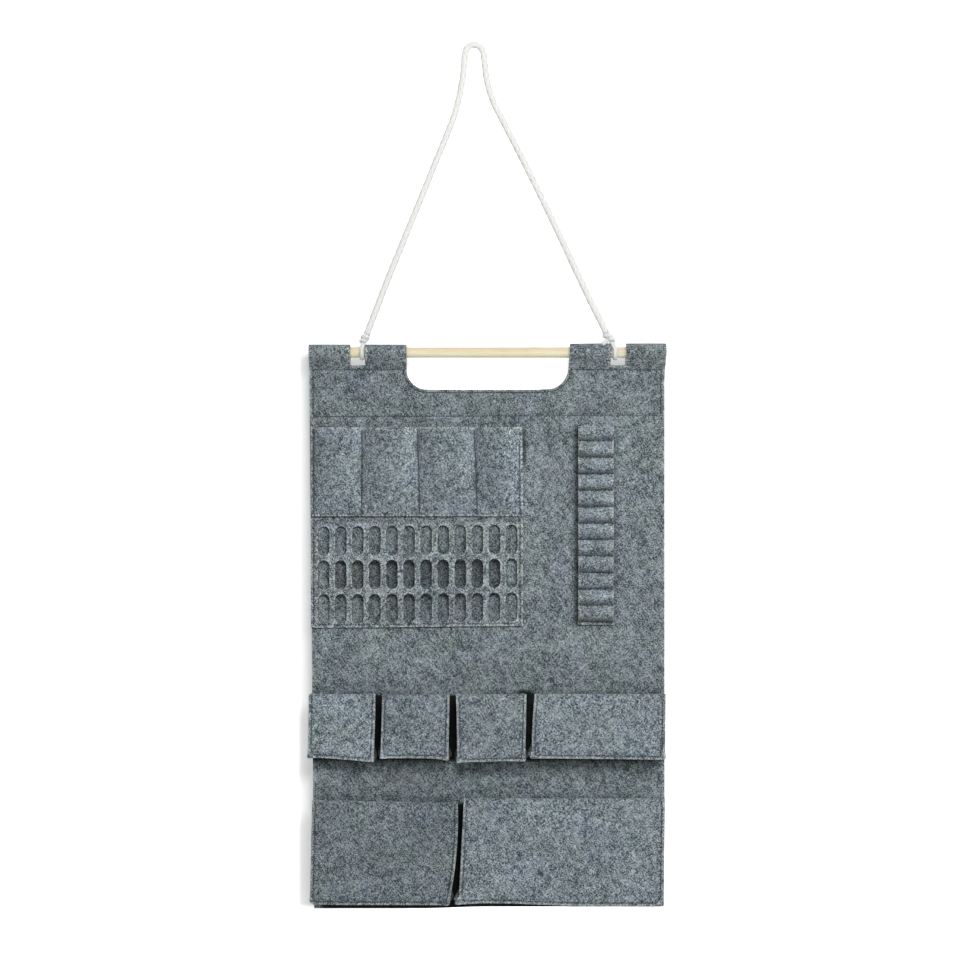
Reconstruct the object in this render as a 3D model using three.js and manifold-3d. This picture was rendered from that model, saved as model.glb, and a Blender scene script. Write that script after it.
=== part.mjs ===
// A wall hanging organizer, in millimetres, with X to the right, Y towards the wall and Z up.
// A felt sheet is folded over a wooden dowel, and a cotton rope tied round the dowel hangs it on a hook.
// Pouches, a slotted sheet, a strip of tool loops and two rows of box pockets are sewn to its front.
// Pieces are placed from the middle of the dowel, and the whole is then moved so that the origin is
// the point under the rope's bend where a hook bears.

import * as THREE from 'three';
import { mergeVertices } from 'three/addons/utils/BufferGeometryUtils.js';
import Module from 'manifold-3d';

const wasm = await Module();
wasm.setup();

// Felt, the clearance between two pieces that lie against each other, how far a cutter runs past what it
// cuts and the smallest radius at a cut corner
const feltThickness = 3;
const seatClearance = 0.3;
const cutMargin = 1;
const leastCornerRadius = 0.5;

// Dowel: how far its ends lie inside the panel's edges, and the clearances round it
const dowelRadius = 6;
const dowelInset = 5;
const dowelChamfer = 1;
const tunnelClearance = 0.4;
const loopClearance = 0.3;

// Panel: how much narrower it is at the foot, the felt between the fold and the seam under the tunnel, the
// drop from the dowel's axis to the edge of the hem behind, and what is left below the lowest pockets
const panelWidth = 420;
const panelTaper = 6;
const tunnelSeamRoom = 12.6;
const hemDrop = 79;
const footMargin = 6.5;

// Notches in the folded edge: the rope's two windows, with the room that they leave below the rope's loops,
// and the handle cut-out
const windowWidth = 17.4;
const windowRoom = 4.1;
const windowPlaces = [-152.5, 155];
const handleWidth = 193.7;
const handlePlace = 1.3;
const handleDrop = 44.4;
const handleCornerRadius = 22;

// Strip of tall pouches: its inset from the panel's left edge, the drop to its mouth, its height, the widths
// between its seams, and how far a pouch stands out at the mouth. Under 1, a fullness makes an arch squarer.
const stripInset = 2.3;
const pouchDrop = 88.4;
const pouchHeight = 104.7;
const pouchWidths = [60, 68, 68, 54];
const pouchBulge = 12;
const pouchSeam = 3;
const pouchFullness = 0.8;

// Slotted sheet under the pouches, as wide as they are: its slots, the felt beside, above, between and below
// them, how far its middle stands out and how close to its side edges it still does
const slotColumns = 12;
const slotRows = 3;
const slotWidth = 13.2;
const slotHeight = 34.4;
const gridSideMargin = 7.85;
const gridTopMargin = 10.6;
const gridRowWeb = 5.5;
const gridFootMargin = 5.2;
const gridBow = 7;
const gridSquareness = 8;

// Strip of tool loops: loopWall is the felt between a loop's hollow and the seam beside it
const loopCount = 12;
const loopPitch = 19.4;
const loopDepth = 10.5;
const loopWall = 2.8;
const loopFullness = 0.7;
const loopStripLeft = 107.4;
const loopStripWidth = 42;
const loopDrop = 85;
const loopTail = 3.3;

// Box pockets, in two rows with plain felt above and between them. A row states the widths of all its
// pockets but the last, which runs to the panel's right edge, the gap between them, their height, and how
// far their feet lie to the left of their mouths.
const pocketDepth = 27;
const gussetFlange = 4.5;
const gussetCornerRadius = 5;
const frontCornerRadius = 2.5;
const plainAbove = 77.6;
const plainBetween = 48;
const smallRow = {
  name: 'small_pocket',
  leftInset: 1,
  rightInset: 4,
  widths: [78, 78, 81],
  gap: 9,
  height: 77,
  lean: 2,
};
const largeRow = {
  name: 'large_pocket',
  leftInset: 5.5,
  rightInset: 4,
  widths: [165.5],
  gap: 9.5,
  height: 121,
  lean: 5,
};

// Rope: the flattened loops round the dowel, the knots and their clearance over the fold, how far below the
// fold's top a knot's neck starts, and the route from the left knot over the hook to the right knot
const ropeDiameter = 8;
const ropeSides = 8;
const ropeSteps = 64;
const loopBandWidth = 5.6;
const loopBandThickness = 4.2;
const loopPlaces = [-147.9, 151.5];
const knotSize = [14, 13, 12];
const knotClearance = 0.9;
const neckSink = 1;
const ropeRoute = [
  [-141.6, 21.5], [-137.6, 32.6], [-130.7, 50.3], [-117.1, 85.7], [-97.9, 132.9], [-78.5, 180.1],
  [-59.4, 227.3], [-47.6, 256], [-38.4, 280], [-31.8, 306], [-28.2, 328], [-26.6, 345], [-25.4, 355],
  [-20.9, 361], [-15.3, 362.5], [-9.6, 361], [-5, 355], [-3.3, 345], [-1.4, 328], [5.6, 300],
  [18.9, 272.5], [42.1, 227.3], [65.3, 180.1], [87.9, 132.9], [110, 85.7], [126.9, 50.3],
  [136, 32.6], [140.9, 21.5],
];

// Planes, heights and pitches that follow from these
const tunnelRadius = dowelRadius + tunnelClearance;
const foldRadius = tunnelRadius + feltThickness;
const tunnelSeamDrop = foldRadius + tunnelSeamRoom;
const windowDrop = dowelRadius + loopClearance + loopBandThickness + windowRoom;
const knotLift = foldRadius + knotClearance + knotSize[2] / 2;
const panelFront = foldRadius - 2 * feltThickness;
const sewnBack = panelFront - seatClearance;
const panelLeft = -panelWidth / 2;
const stripLeft = panelLeft + stripInset;
const stripWidth = pouchWidths.reduce((sum, width) => sum + width, 0);
const slotColumnPitch = (stripWidth - 2 * gridSideMargin - slotWidth) / (slotColumns - 1);
const slotRowPitch = slotHeight + gridRowWeb;
const gridHeight = gridTopMargin + slotRowPitch * slotRows - gridRowWeb + gridFootMargin;
const gridTop = -pouchDrop - pouchHeight - seatClearance;
const gridBottom = gridTop - gridHeight;
const smallTop = gridBottom - plainAbove;
const largeTop = smallTop - smallRow.height - plainBetween;
const panelDrop = -(largeTop - largeRow.height - footMargin);

const feltMaterial = new THREE.MeshStandardMaterial({ color: 0x70767b, roughness: 0.97, metalness: 0 });
const pocketMaterial = new THREE.MeshStandardMaterial({ color: 0x7c8287, roughness: 0.97, metalness: 0 });
const dowelMaterial = new THREE.MeshStandardMaterial({ color: 0xe8d3b0, roughness: 0.55, metalness: 0 });
const ropeMaterial = new THREE.MeshStandardMaterial({ color: 0xf1efe8, roughness: 0.9, metalness: 0 });

// From a closed three.js geometry to a solid, and back
function solid(geometry) {
  const bare = geometry.index ? geometry.toNonIndexed() : geometry.clone();
  for (const name of Object.keys(bare.attributes)) {
    if (name !== 'position') {
      bare.deleteAttribute(name);
    }
  }
  const merged = mergeVertices(bare, 1e-4);
  const vertProperties = new Float32Array(merged.attributes.position.array);
  const triVerts = new Uint32Array(merged.index.array);
  return new wasm.Manifold(new wasm.Mesh({ numProp: 3, vertProperties, triVerts }));
}

function geometryOf(body) {
  const { vertProperties, triVerts } = body.getMesh();
  const geometry = new THREE.BufferGeometry();
  geometry.setAttribute('position', new THREE.BufferAttribute(vertProperties, 3));
  geometry.setIndex(new THREE.BufferAttribute(triVerts, 1));
  geometry.computeVertexNormals();
  return geometry;
}

function piece(name, body, material) {
  const mesh = new THREE.Mesh(geometryOf(body), material);
  mesh.name = name;
  return mesh;
}

// A shape drawn in X and Z, as thick felt or a longer bar that runs from back towards the front
function plate(shape, back, thickness, curveSegments = 3) {
  const geometry = new THREE.ExtrudeGeometry(shape, { depth: thickness, bevelEnabled: false, curveSegments });
  const turn = new THREE.Matrix4().makeBasis(
    new THREE.Vector3(1, 0, 0),
    new THREE.Vector3(0, 0, 1),
    new THREE.Vector3(0, -1, 0),
  );
  return geometry.applyMatrix4(turn).translate(0, back, 0);
}

// A profile drawn in Y and Z, run along X from left
function bar(profile, left, length) {
  const curveSegments = 10;
  const geometry = new THREE.ExtrudeGeometry(profile, { depth: length, bevelEnabled: false, curveSegments });
  const turn = new THREE.Matrix4().makeBasis(
    new THREE.Vector3(0, 1, 0),
    new THREE.Vector3(0, 0, 1),
    new THREE.Vector3(1, 0, 0),
  );
  return geometry.applyMatrix4(turn).translate(left, 0, 0);
}

// Moves each vertex of a geometry by a rule
function reshaped(geometry, rule) {
  const places = geometry.attributes.position;
  const point = new THREE.Vector3();
  for (let i = 0; i < places.count; i += 1) {
    point.fromBufferAttribute(places, i);
    rule(point);
    places.setXYZ(i, point.x, point.y, point.z);
  }
  return geometry;
}

// A rectangle in X and Z, whose two lower corners may be round
function roundFooted(left, right, top, bottom, radius) {
  const shape = new THREE.Shape();
  shape.moveTo(left, top);
  shape.lineTo(left, bottom + radius);
  shape.absarc(left + radius, bottom + radius, radius, Math.PI, 1.5 * Math.PI, false);
  shape.absarc(right - radius, bottom + radius, radius, 1.5 * Math.PI, 2 * Math.PI, false);
  shape.lineTo(right, top);
  shape.closePath();
  return shape;
}

// The panel: the front layer falls from the fold over the dowel to the seam and on to the foot, and the
// hem falls behind the dowel, flat against the wall. Below the seam the two layers are sewn into one.
function panelProfile() {
  const reach = Math.hypot(panelFront, tunnelSeamDrop);
  const leave = Math.atan2(-tunnelSeamDrop, panelFront) - Math.acos(foldRadius / reach);
  const slopeY = panelFront - foldRadius * Math.cos(leave);
  const slopeZ = -tunnelSeamDrop - foldRadius * Math.sin(leave);
  const along = (tunnelRadius - tunnelRadius * Math.cos(leave)) / slopeY;

  const profile = new THREE.Shape();
  profile.moveTo(panelFront, -panelDrop);
  profile.lineTo(panelFront, -tunnelSeamDrop);
  profile.absarc(0, 0, foldRadius, leave, -2 * Math.PI, true);
  profile.lineTo(foldRadius, -hemDrop);
  profile.lineTo(tunnelRadius, -hemDrop);
  profile.lineTo(tunnelRadius, -panelDrop);
  profile.closePath();

  const tunnel = new THREE.Path();
  tunnel.moveTo(tunnelRadius, tunnelRadius * Math.sin(leave) + along * slopeZ);
  tunnel.lineTo(tunnelRadius, 0);
  tunnel.absarc(0, 0, tunnelRadius, 0, leave + 2 * Math.PI, false);
  tunnel.closePath();
  profile.holes.push(tunnel);
  return profile;
}

function notch(place, width, drop, radius) {
  const reach = foldRadius + cutMargin;
  const shape = roundFooted(place - width / 2, place + width / 2, reach, -drop, radius);
  const curveSegments = 6;
  return solid(plate(shape, reach, 2 * reach, curveSegments));
}

function panel() {
  const taper = panelTaper / panelWidth;
  const sheet = reshaped(bar(panelProfile(), panelLeft, panelWidth), (point) => {
    point.x *= 1 - taper * Math.min(Math.max(-point.z / panelDrop, 0), 1);
  });
  let body = solid(sheet);
  for (const place of windowPlaces) {
    body = body.subtract(notch(place, windowWidth, windowDrop, leastCornerRadius));
  }
  return body.subtract(notch(handlePlace, handleWidth, handleDrop, handleCornerRadius));
}

// The pouches: one strip, flat at its seams and foot, that stands out between the seams, most at the mouth
function pouchStrip() {
  const across = 8;
  const up = 8;
  const count = pouchWidths.length;
  const footShare = pouchSeam / pouchHeight;
  const sheet = new THREE.BoxGeometry(count, feltThickness, 1, across * count, 1, up);
  const formed = reshaped(sheet, (point) => {
    const place = point.x + count / 2;
    const pouch = Math.min(Math.floor(place), count - 1);
    const share = place - pouch;
    const left = stripLeft + pouchWidths.slice(0, pouch).reduce((sum, width) => sum + width, 0);
    const width = pouchWidths[pouch];
    const height = point.z + 0.5;
    const open = Math.max((share * width - pouchSeam) / (width - 2 * pouchSeam), 0);
    const arch = open >= 1 ? 0 : Math.sin(Math.PI * open) ** pouchFullness;
    const rise = Math.sin(Math.PI / 2 * Math.max((height - footShare) / (1 - footShare), 0));
    point.x = left + share * width;
    point.y += sewnBack - feltThickness / 2 - pouchBulge * arch * rise;
    point.z = -pouchDrop - pouchHeight * (1 - height);
  });
  return solid(formed);
}

// The slotted sheet: sewn down along all its edges, with a middle that stands out
function slottedSheet() {
  const across = 8;
  const up = 6;
  const sheet = new THREE.BoxGeometry(2, feltThickness, gridHeight, across, 1, up);
  const middle = stripLeft + stripWidth / 2;
  const formed = reshaped(sheet, (point) => {
    const side = Math.sin(Math.PI / 2 * point.x);
    const height = point.z / (gridHeight / 2);
    const bow = gridBow * (1 - side ** gridSquareness) * (1 - height ** 2);
    point.x = middle + side * stripWidth / 2;
    point.y += sewnBack - feltThickness / 2 - bow;
    point.z += gridTop - gridHeight / 2;
  });
  let body = solid(formed);
  const radius = slotWidth / 2;
  const cutDepth = feltThickness + gridBow + 2 * cutMargin;
  const curveSegments = 4;
  for (let row = 0; row < slotRows; row += 1) {
    const top = gridTop - gridTopMargin - row * slotRowPitch;
    for (let column = 0; column < slotColumns; column += 1) {
      const place = middle + (column - (slotColumns - 1) / 2) * slotColumnPitch;
      const slot = new THREE.Shape();
      slot.absarc(place, top - radius, radius, 0, Math.PI, false);
      slot.absarc(place, top - slotHeight + radius, radius, Math.PI, 2 * Math.PI, false);
      slot.closePath();
      body = body.subtract(solid(plate(slot, sewnBack + cutMargin, cutDepth, curveSegments)));
    }
  }
  return body;
}

// The tool loops: one strip sewn down at every pitch, so that it stands out in a row of arches
function toolLoops() {
  const steps = 8;
  const profile = new THREE.Shape();
  profile.moveTo(sewnBack, -loopDrop);
  profile.lineTo(sewnBack - feltThickness, -loopDrop);
  for (let loop = 0; loop < loopCount; loop += 1) {
    for (let step = 1; step <= steps; step += 1) {
      const share = step / steps;
      const out = share < 1 ? (loopDepth - feltThickness) * Math.sin(Math.PI * share) ** loopFullness : 0;
      profile.lineTo(sewnBack - feltThickness - out, -loopDrop - (loop + share) * loopPitch);
    }
  }
  const foot = -loopDrop - loopCount * loopPitch - loopTail;
  profile.lineTo(sewnBack - feltThickness, foot);
  profile.lineTo(sewnBack, foot);
  const halfWidth = loopPitch / 2 - loopWall;
  for (let loop = loopCount - 1; loop >= 0; loop -= 1) {
    const middle = -loopDrop - (loop + 0.5) * loopPitch;
    for (let step = 0; step <= steps; step += 1) {
      const angle = Math.PI * step / steps;
      const inward = (loopDepth - feltThickness) * Math.sin(angle);
      profile.lineTo(sewnBack - (step < steps ? inward : 0), middle - halfWidth * Math.cos(angle));
    }
  }
  profile.closePath();
  return solid(bar(profile, loopStripLeft, loopStripWidth));
}

// A band of felt on edge that follows the sides and foot of a pocket, open at the mouth
function trough(left, right, top, bottom, radius, thickness) {
  const outer = roundFooted(left, right, top, bottom, radius);
  const inside = [left + thickness, right - thickness, top + cutMargin, bottom + thickness];
  const inner = roundFooted(...inside, Math.max(radius - thickness, leastCornerRadius));
  return { outer, inner };
}

function troughSolid({ outer, inner }, back, depth) {
  const whole = solid(plate(outer, back, depth));
  return whole.subtract(solid(plate(inner, back + cutMargin, depth + 2 * cutMargin)));
}

// A box pocket: a front, and a gusset that is folded out into flanges behind the front and on the panel
function boxPocket(name, left, right, top, height, lean) {
  const bottom = top - height;
  const leaning = (geometry) => reshaped(geometry, (point) => {
    point.x -= lean * (top - point.z) / height;
  });
  const gussetDepth = pocketDepth - feltThickness - seatClearance;
  const wallEdges = [left + gussetFlange, right - gussetFlange, top, bottom + gussetFlange];
  const flangeEdges = [left, right, top, bottom];
  const wall = troughSolid(trough(...wallEdges, gussetCornerRadius, feltThickness), sewnBack, gussetDepth);
  const flange = (back) => troughSolid(
    trough(...flangeEdges, frontCornerRadius, gussetFlange + feltThickness / 2),
    back,
    feltThickness,
  );
  const gusset = wall.add(flange(sewnBack)).add(flange(sewnBack - gussetDepth + feltThickness));
  const front = plate(
    roundFooted(left, right, top, bottom, frontCornerRadius),
    sewnBack - pocketDepth + feltThickness,
    feltThickness,
  );
  return [
    piece(`${name}_gusset`, solid(leaning(geometryOf(gusset))), feltMaterial),
    piece(`${name}_front`, solid(leaning(front)), pocketMaterial),
  ];
}

function pocketRow({ name, leftInset, rightInset, widths, gap, height, lean }, top) {
  const group = new THREE.Group();
  let left = panelLeft + leftInset;
  const lastRight = panelWidth / 2 - rightInset;
  const rights = widths.map((width, index) => left + gap * index
    + widths.slice(0, index + 1).reduce((sum, each) => sum + each, 0));
  [...rights, lastRight].forEach((right, index) => {
    group.add(...boxPocket(`${name}_${index + 1}`, left, right, top, height, lean));
    left = right + gap;
  });
  return group;
}

// The dowel, turned to lie along X
function dowel() {
  const half = panelWidth / 2 - dowelInset;
  const sides = 48;
  const profile = [
    new THREE.Vector2(0, -half),
    new THREE.Vector2(dowelRadius - dowelChamfer, -half),
    new THREE.Vector2(dowelRadius, -half + dowelChamfer),
    new THREE.Vector2(dowelRadius, half - dowelChamfer),
    new THREE.Vector2(dowelRadius - dowelChamfer, half),
    new THREE.Vector2(0, half),
  ];
  return solid(new THREE.LatheGeometry(profile, sides).rotateZ(-Math.PI / 2));
}

// The rope between its knots
function rope() {
  const route = new THREE.CatmullRomCurve3(ropeRoute.map(([x, z]) => new THREE.Vector3(x, 0, z)));
  const section = new THREE.Shape();
  for (let side = 0; side < ropeSides; side += 1) {
    const angle = 2 * Math.PI * side / ropeSides;
    const x = ropeDiameter / 2 * Math.cos(angle);
    const y = ropeDiameter / 2 * Math.sin(angle);
    if (side === 0) {
      section.moveTo(x, y);
    } else {
      section.lineTo(x, y);
    }
  }
  section.closePath();
  return solid(new THREE.ExtrudeGeometry(section, { steps: ropeSteps, extrudePath: route }));
}

// A knot: the rope's flattened loop round the dowel, the short neck above it and the tight lump that the
// rope comes out of. end and next are the first two points of the rope there.
function knot(loopPlace, [endX, endZ], [nextX, nextZ]) {
  const bandMiddle = dowelRadius + loopClearance + loopBandThickness / 2;
  const band = [];
  const bandPoints = 8;
  for (let i = 0; i <= bandPoints; i += 1) {
    const angle = 2 * Math.PI * (i % bandPoints) / bandPoints;
    band.push(new THREE.Vector2(
      bandMiddle + loopBandThickness / 2 * Math.cos(angle),
      loopBandWidth / 2 * Math.sin(angle),
    ));
  }
  const loop = new THREE.LatheGeometry(band, 24).rotateZ(Math.PI / 2).translate(loopPlace, 0, 0);

  const away = new THREE.Vector3(nextX - endX, 0, nextZ - endZ).normalize();
  const rise = (endZ - knotLift) / away.z;
  const lump = new THREE.SphereGeometry(0.5, 16, 8).scale(...knotSize);
  const lumpX = endX - away.x * rise;
  lump.translate(lumpX, 0, knotLift);

  const neckFoot = new THREE.Vector3(loopPlace, 0, foldRadius - neckSink);
  const neckTop = new THREE.Vector3(lumpX, 0, knotLift);
  const neck = new THREE.CylinderGeometry(1, 1, neckFoot.distanceTo(neckTop), 16);
  neck.scale(loopBandWidth / 2, 1, loopBandThickness / 2);
  const lean = new THREE.Quaternion().setFromUnitVectors(
    new THREE.Vector3(0, 1, 0),
    neckTop.clone().sub(neckFoot).normalize(),
  );
  neck.applyQuaternion(lean).translate(
    (neckFoot.x + neckTop.x) / 2,
    0,
    (neckFoot.z + neckTop.z) / 2,
  );

  const ropeSeat = new THREE.CylinderGeometry(ropeDiameter, ropeDiameter, ropeDiameter, 16);
  const upright = new THREE.Quaternion().setFromUnitVectors(new THREE.Vector3(0, 1, 0), away);
  ropeSeat.translate(0, ropeDiameter / 2 - seatClearance, 0).applyQuaternion(upright);
  ropeSeat.translate(endX, 0, endZ);
  return solid(loop).add(solid(neck)).add(solid(lump)).subtract(solid(ropeSeat));
}

const hangIndex = ropeRoute.reduce((best, point, index) => (point[1] > ropeRoute[best][1] ? index : best), 0);
const [hangX, hangTop] = ropeRoute[hangIndex];

const organizer = new THREE.Group();
organizer.position.set(-hangX, 0, -(hangTop - ropeDiameter / 2));
organizer.add(
  piece('felt_panel', panel(), feltMaterial),
  piece('tall_pouch_strip', pouchStrip(), feltMaterial),
  piece('slotted_sheet', slottedSheet(), feltMaterial),
  piece('tool_loop_strip', toolLoops(), feltMaterial),
  pocketRow(smallRow, smallTop),
  pocketRow(largeRow, largeTop),
  piece('dowel', dowel(), dowelMaterial),
  piece('hanging_rope', rope(), ropeMaterial),
  piece('left_knot', knot(loopPlaces[0], ropeRoute[0], ropeRoute[1]), ropeMaterial),
  piece('right_knot', knot(loopPlaces[1], ropeRoute.at(-1), ropeRoute.at(-2)), ropeMaterial),
);

export default organizer;
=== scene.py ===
# Wall hanging organizer in grey felt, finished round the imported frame, in the order in which it is put together.
from math import acos, atan2, ceil, cos, exp, hypot, pi, radians, sin

import bpy
import numpy
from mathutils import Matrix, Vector


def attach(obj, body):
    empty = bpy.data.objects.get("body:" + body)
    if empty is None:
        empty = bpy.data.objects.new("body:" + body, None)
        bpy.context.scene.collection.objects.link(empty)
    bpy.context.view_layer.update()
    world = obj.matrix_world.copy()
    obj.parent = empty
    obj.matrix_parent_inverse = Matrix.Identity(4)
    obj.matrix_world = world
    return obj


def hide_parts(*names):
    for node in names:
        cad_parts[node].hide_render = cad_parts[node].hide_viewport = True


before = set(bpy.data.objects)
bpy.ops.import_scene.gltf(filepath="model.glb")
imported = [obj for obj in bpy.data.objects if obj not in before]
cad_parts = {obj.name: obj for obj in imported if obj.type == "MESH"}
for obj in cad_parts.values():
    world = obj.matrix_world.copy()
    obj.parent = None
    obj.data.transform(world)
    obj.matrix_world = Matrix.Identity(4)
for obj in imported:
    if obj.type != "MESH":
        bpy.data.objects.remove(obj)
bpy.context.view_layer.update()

# ---------------------------------------------------------------------------------------------------------------
# Camera: a straight front view, with the panel's middle a little under the level of the lens.
camera_lens = bpy.data.cameras.new("front_camera")
camera_lens.lens = 95.34
camera_lens.sensor_width = 36
camera_lens.clip_end = 20
camera = bpy.data.objects.new("front_camera", camera_lens)
camera.location = (0.0070, -2.9966, -0.5088)
camera.rotation_euler = (radians(90), 0, 0)
bpy.context.scene.collection.objects.link(camera)
bpy.context.scene.camera = camera
bpy.context.scene.view_settings.view_transform = "Standard"

# ---------------------------------------------------------------------------------------------------------------
# Hanging rope: one length of plaited cotton, 8 mm across, that hangs from its bend. Each end is knotted just over the
# dowel, and its loop, pressed flatter, goes round the dowel in the window of the felt.
DOWEL_X, DOWEL_Z = 0.0153, -0.3585
ROPE_ROUTE = [
    (-0.1416, 0.0215), (-0.1376, 0.0326), (-0.1307, 0.0503), (-0.1171, 0.0857), (-0.0979, 0.1329),
    (-0.0785, 0.1801), (-0.0594, 0.2273), (-0.0476, 0.256), (-0.0384, 0.28), (-0.0318, 0.306),
    (-0.0282, 0.328), (-0.0266, 0.345), (-0.0254, 0.355), (-0.0209, 0.361), (-0.0153, 0.3625),
    (-0.0096, 0.361), (-0.005, 0.355), (-0.0033, 0.345), (-0.0014, 0.328), (0.0056, 0.3),
    (0.0189, 0.2725), (0.0421, 0.2273), (0.0653, 0.1801), (0.0879, 0.1329), (0.11, 0.0857),
    (0.1269, 0.0503), (0.136, 0.0326), (0.1409, 0.0215),
]
MM = 0.001


def smooth_line(points, step):
    """Points about a step apart on a smooth line through the given ones."""
    points = [Vector(point) for point in points]
    last = len(points) - 1
    ways = []
    for i, here in enumerate(points):
        back, ahead = here - points[max(i - 1, 0)], points[min(i + 1, last)] - here
        if 0 < i < last:
            both = back.length + ahead.length
            ways.append((back.normalized() * ahead.length + ahead.normalized() * back.length) / both)
        else:
            ways.append((back + ahead).normalized())
    line = []
    for i in range(last):
        start, end = points[i], points[i + 1]
        span = (end - start).length
        parts = max(1, round(span / step))
        for k in range(parts):
            t = k / parts
            line.append(
                start * (2 * t ** 3 - 3 * t ** 2 + 1) + ways[i] * span * (t ** 3 - 2 * t ** 2 + t)
                + end * (3 * t ** 2 - 2 * t ** 3) + ways[i + 1] * span * (t ** 3 - t ** 2)
            )
    return line + [points[last]]


def length_of(line):
    return sum((b - a).length for a, b in zip(line, line[1:]))


def show(name, points, faces, marks=None):
    """A smooth mesh in the scene, with a number at each point for every mark."""
    mesh = bpy.data.meshes.new(name)
    mesh.from_pydata(points, [], faces)
    mesh.polygons.foreach_set("use_smooth", [True] * len(mesh.polygons))
    for mark, values in (marks or {}).items():
        mesh.attributes.new(mark, "FLOAT", "POINT").data.foreach_set("value", values)
    mesh.update()
    piece = bpy.data.objects.new(name, mesh)
    bpy.context.scene.collection.objects.link(piece)
    return piece


def ring_faces(start, rings, sides):
    """The faces of a closed tube whose rings of points follow one another from a start."""
    faces = []
    for i in range(rings - 1):
        for k in range(sides):
            a, b = start + i * sides + k, start + i * sides + (k + 1) % sides
            faces.append((a, b, b + sides, a + sides))
    end = start + (rings - 1) * sides
    return faces + [[start + k for k in reversed(range(sides))], [end + k for k in range(sides)]]


def tube(lines, sides, reach):
    """Closed tubes along lines: points, faces and how deep each point lies. reach(along, turn, whole) gives both."""
    points, faces, depths = [], [], []
    for line in lines:
        side, gone, start, whole = Vector((1, 0, 0)), 0.0, len(points), length_of(line)
        for i, here in enumerate(line):
            ahead = (line[min(i + 1, len(line) - 1)] - line[max(i - 1, 0)]).normalized()
            side = (side - ahead * side.dot(ahead)).normalized()
            up = ahead.cross(side)
            gone += (here - line[i - 1]).length if i else 0
            for k in range(sides):
                turn = 2 * pi * k / sides
                out, depth = reach(gone, turn, whole)
                points.append(here + (side * cos(turn) + up * sin(turn)) * out)
                depths.append(depth)
        faces += ring_faces(start, len(line), sides)
    return points, faces, depths


def plaited(across, over, pitch, strands, relief, round_ends=0.0):
    """The reach of a plaited rope: its strands cross in two directions and dip between crossings."""
    middle_crown, cut_end = 0.55, 0.25

    def reach(along, turn, whole):
        twist = 2 * pi * along / pitch
        crown = max(cos(strands * turn + twist), cos(strands * turn - twist))
        oval = across * over / hypot(over * cos(turn), across * sin(turn))
        end = 1.0
        if round_ends:
            near = min(along, whole - along) / round_ends
            end = max(cut_end, 1 - (1 - min(near, 1)) ** 2) ** 0.5
        return (oval + relief * (crown - middle_crown)) * end, max(0.0, 1 - crown) ** 1.5

    return reach


def fill(tree, node, inputs):
    """Give a shader node its inputs. One that is given as a socket is linked."""
    for place, value in inputs.items():
        if isinstance(value, bpy.types.NodeSocket):
            tree.links.new(value, node.inputs[place])
        else:
            node.inputs[place].default_value = value


def add(tree, kind, settings=None, inputs=None):
    """A new shader node with its settings and inputs."""
    made = tree.nodes.new(kind)
    for name, value in (settings or {}).items():
        setattr(made, name, value)
    fill(tree, made, inputs or {})
    return made


def place_of(tree):
    return add(tree, "ShaderNodeTexCoord").outputs["Object"]


def facing_of(tree, axis):
    """How far the surface faces along an axis of the piece, from -1 to 1."""
    facing = add(tree, "ShaderNodeTexCoord").outputs["Normal"]
    return add(tree, "ShaderNodeSeparateXYZ", None, {0: facing}).outputs[axis]


def mark_of(tree, name):
    """A number that the mesh has at each point."""
    return add(tree, "ShaderNodeAttribute", {"attribute_name": name}).outputs["Fac"]


def calc(tree, operation, *values, clamp=False):
    return add(tree, "ShaderNodeMath", {"operation": operation, "use_clamp": clamp}, dict(enumerate(values))).outputs[0]


def ramp(tree, value, low, high, at_low, at_high):
    """A number that goes from at_low to at_high while a value goes from low to high."""
    return add(tree, "ShaderNodeMapRange", None, {0: value, 1: low, 2: high, 3: at_low, 4: at_high}).outputs[0]


def noise(tree, place, scale, detail, roughness=0.5, distortion=0.0):
    return add(tree, "ShaderNodeTexNoise", None, {
        "Vector": place, "Scale": scale, "Detail": detail, "Roughness": roughness, "Distortion": distortion}).outputs[0]


def stretched(tree, place, stretch):
    return add(tree, "ShaderNodeVectorMath", {"operation": "MULTIPLY"}, {0: place, 1: stretch}).outputs[0]


def blend(tree, share, one, other, way="MIX"):
    """A share of one colour over another."""
    settings = {"data_type": "RGBA", "blend_type": way}
    return add(tree, "ShaderNodeMix", settings, {0: share, 6: one, 7: other}).outputs[2]


def scaled(tree, colour, factor):
    return add(tree, "ShaderNodeVectorMath", {"operation": "SCALE"}, {0: colour, "Scale": factor}).outputs[0]


def dress(tree, surface, colour, height, strength, distance):
    """Give a surface its colour, and its relief at a strength and over a distance in metres."""
    bump = add(tree, "ShaderNodeBump", None, {"Strength": strength, "Distance": distance, "Height": height})
    fill(tree, surface, {"Base Color": colour, "Normal": bump.outputs[0]})


def finish_of(name, roughness, sheen=0.0, depth=0.0):
    """A matt material whose colour and relief are still to be linked. Light enters it to a depth, in metres."""
    material = bpy.data.materials.new(name)
    material.use_nodes = True
    surface = material.node_tree.nodes["Principled BSDF"]
    fill(material.node_tree, surface, {
        "Roughness": roughness, "Specular IOR Level": 0.2, "Sheen Weight": sheen, "Sheen Roughness": 0.6})
    if depth:
        fill(material.node_tree, surface, {
            "Subsurface Weight": 1.0, "Subsurface Radius": (1.0, 0.9, 0.8), "Subsurface Scale": depth})
    return material, material.node_tree, surface


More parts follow.
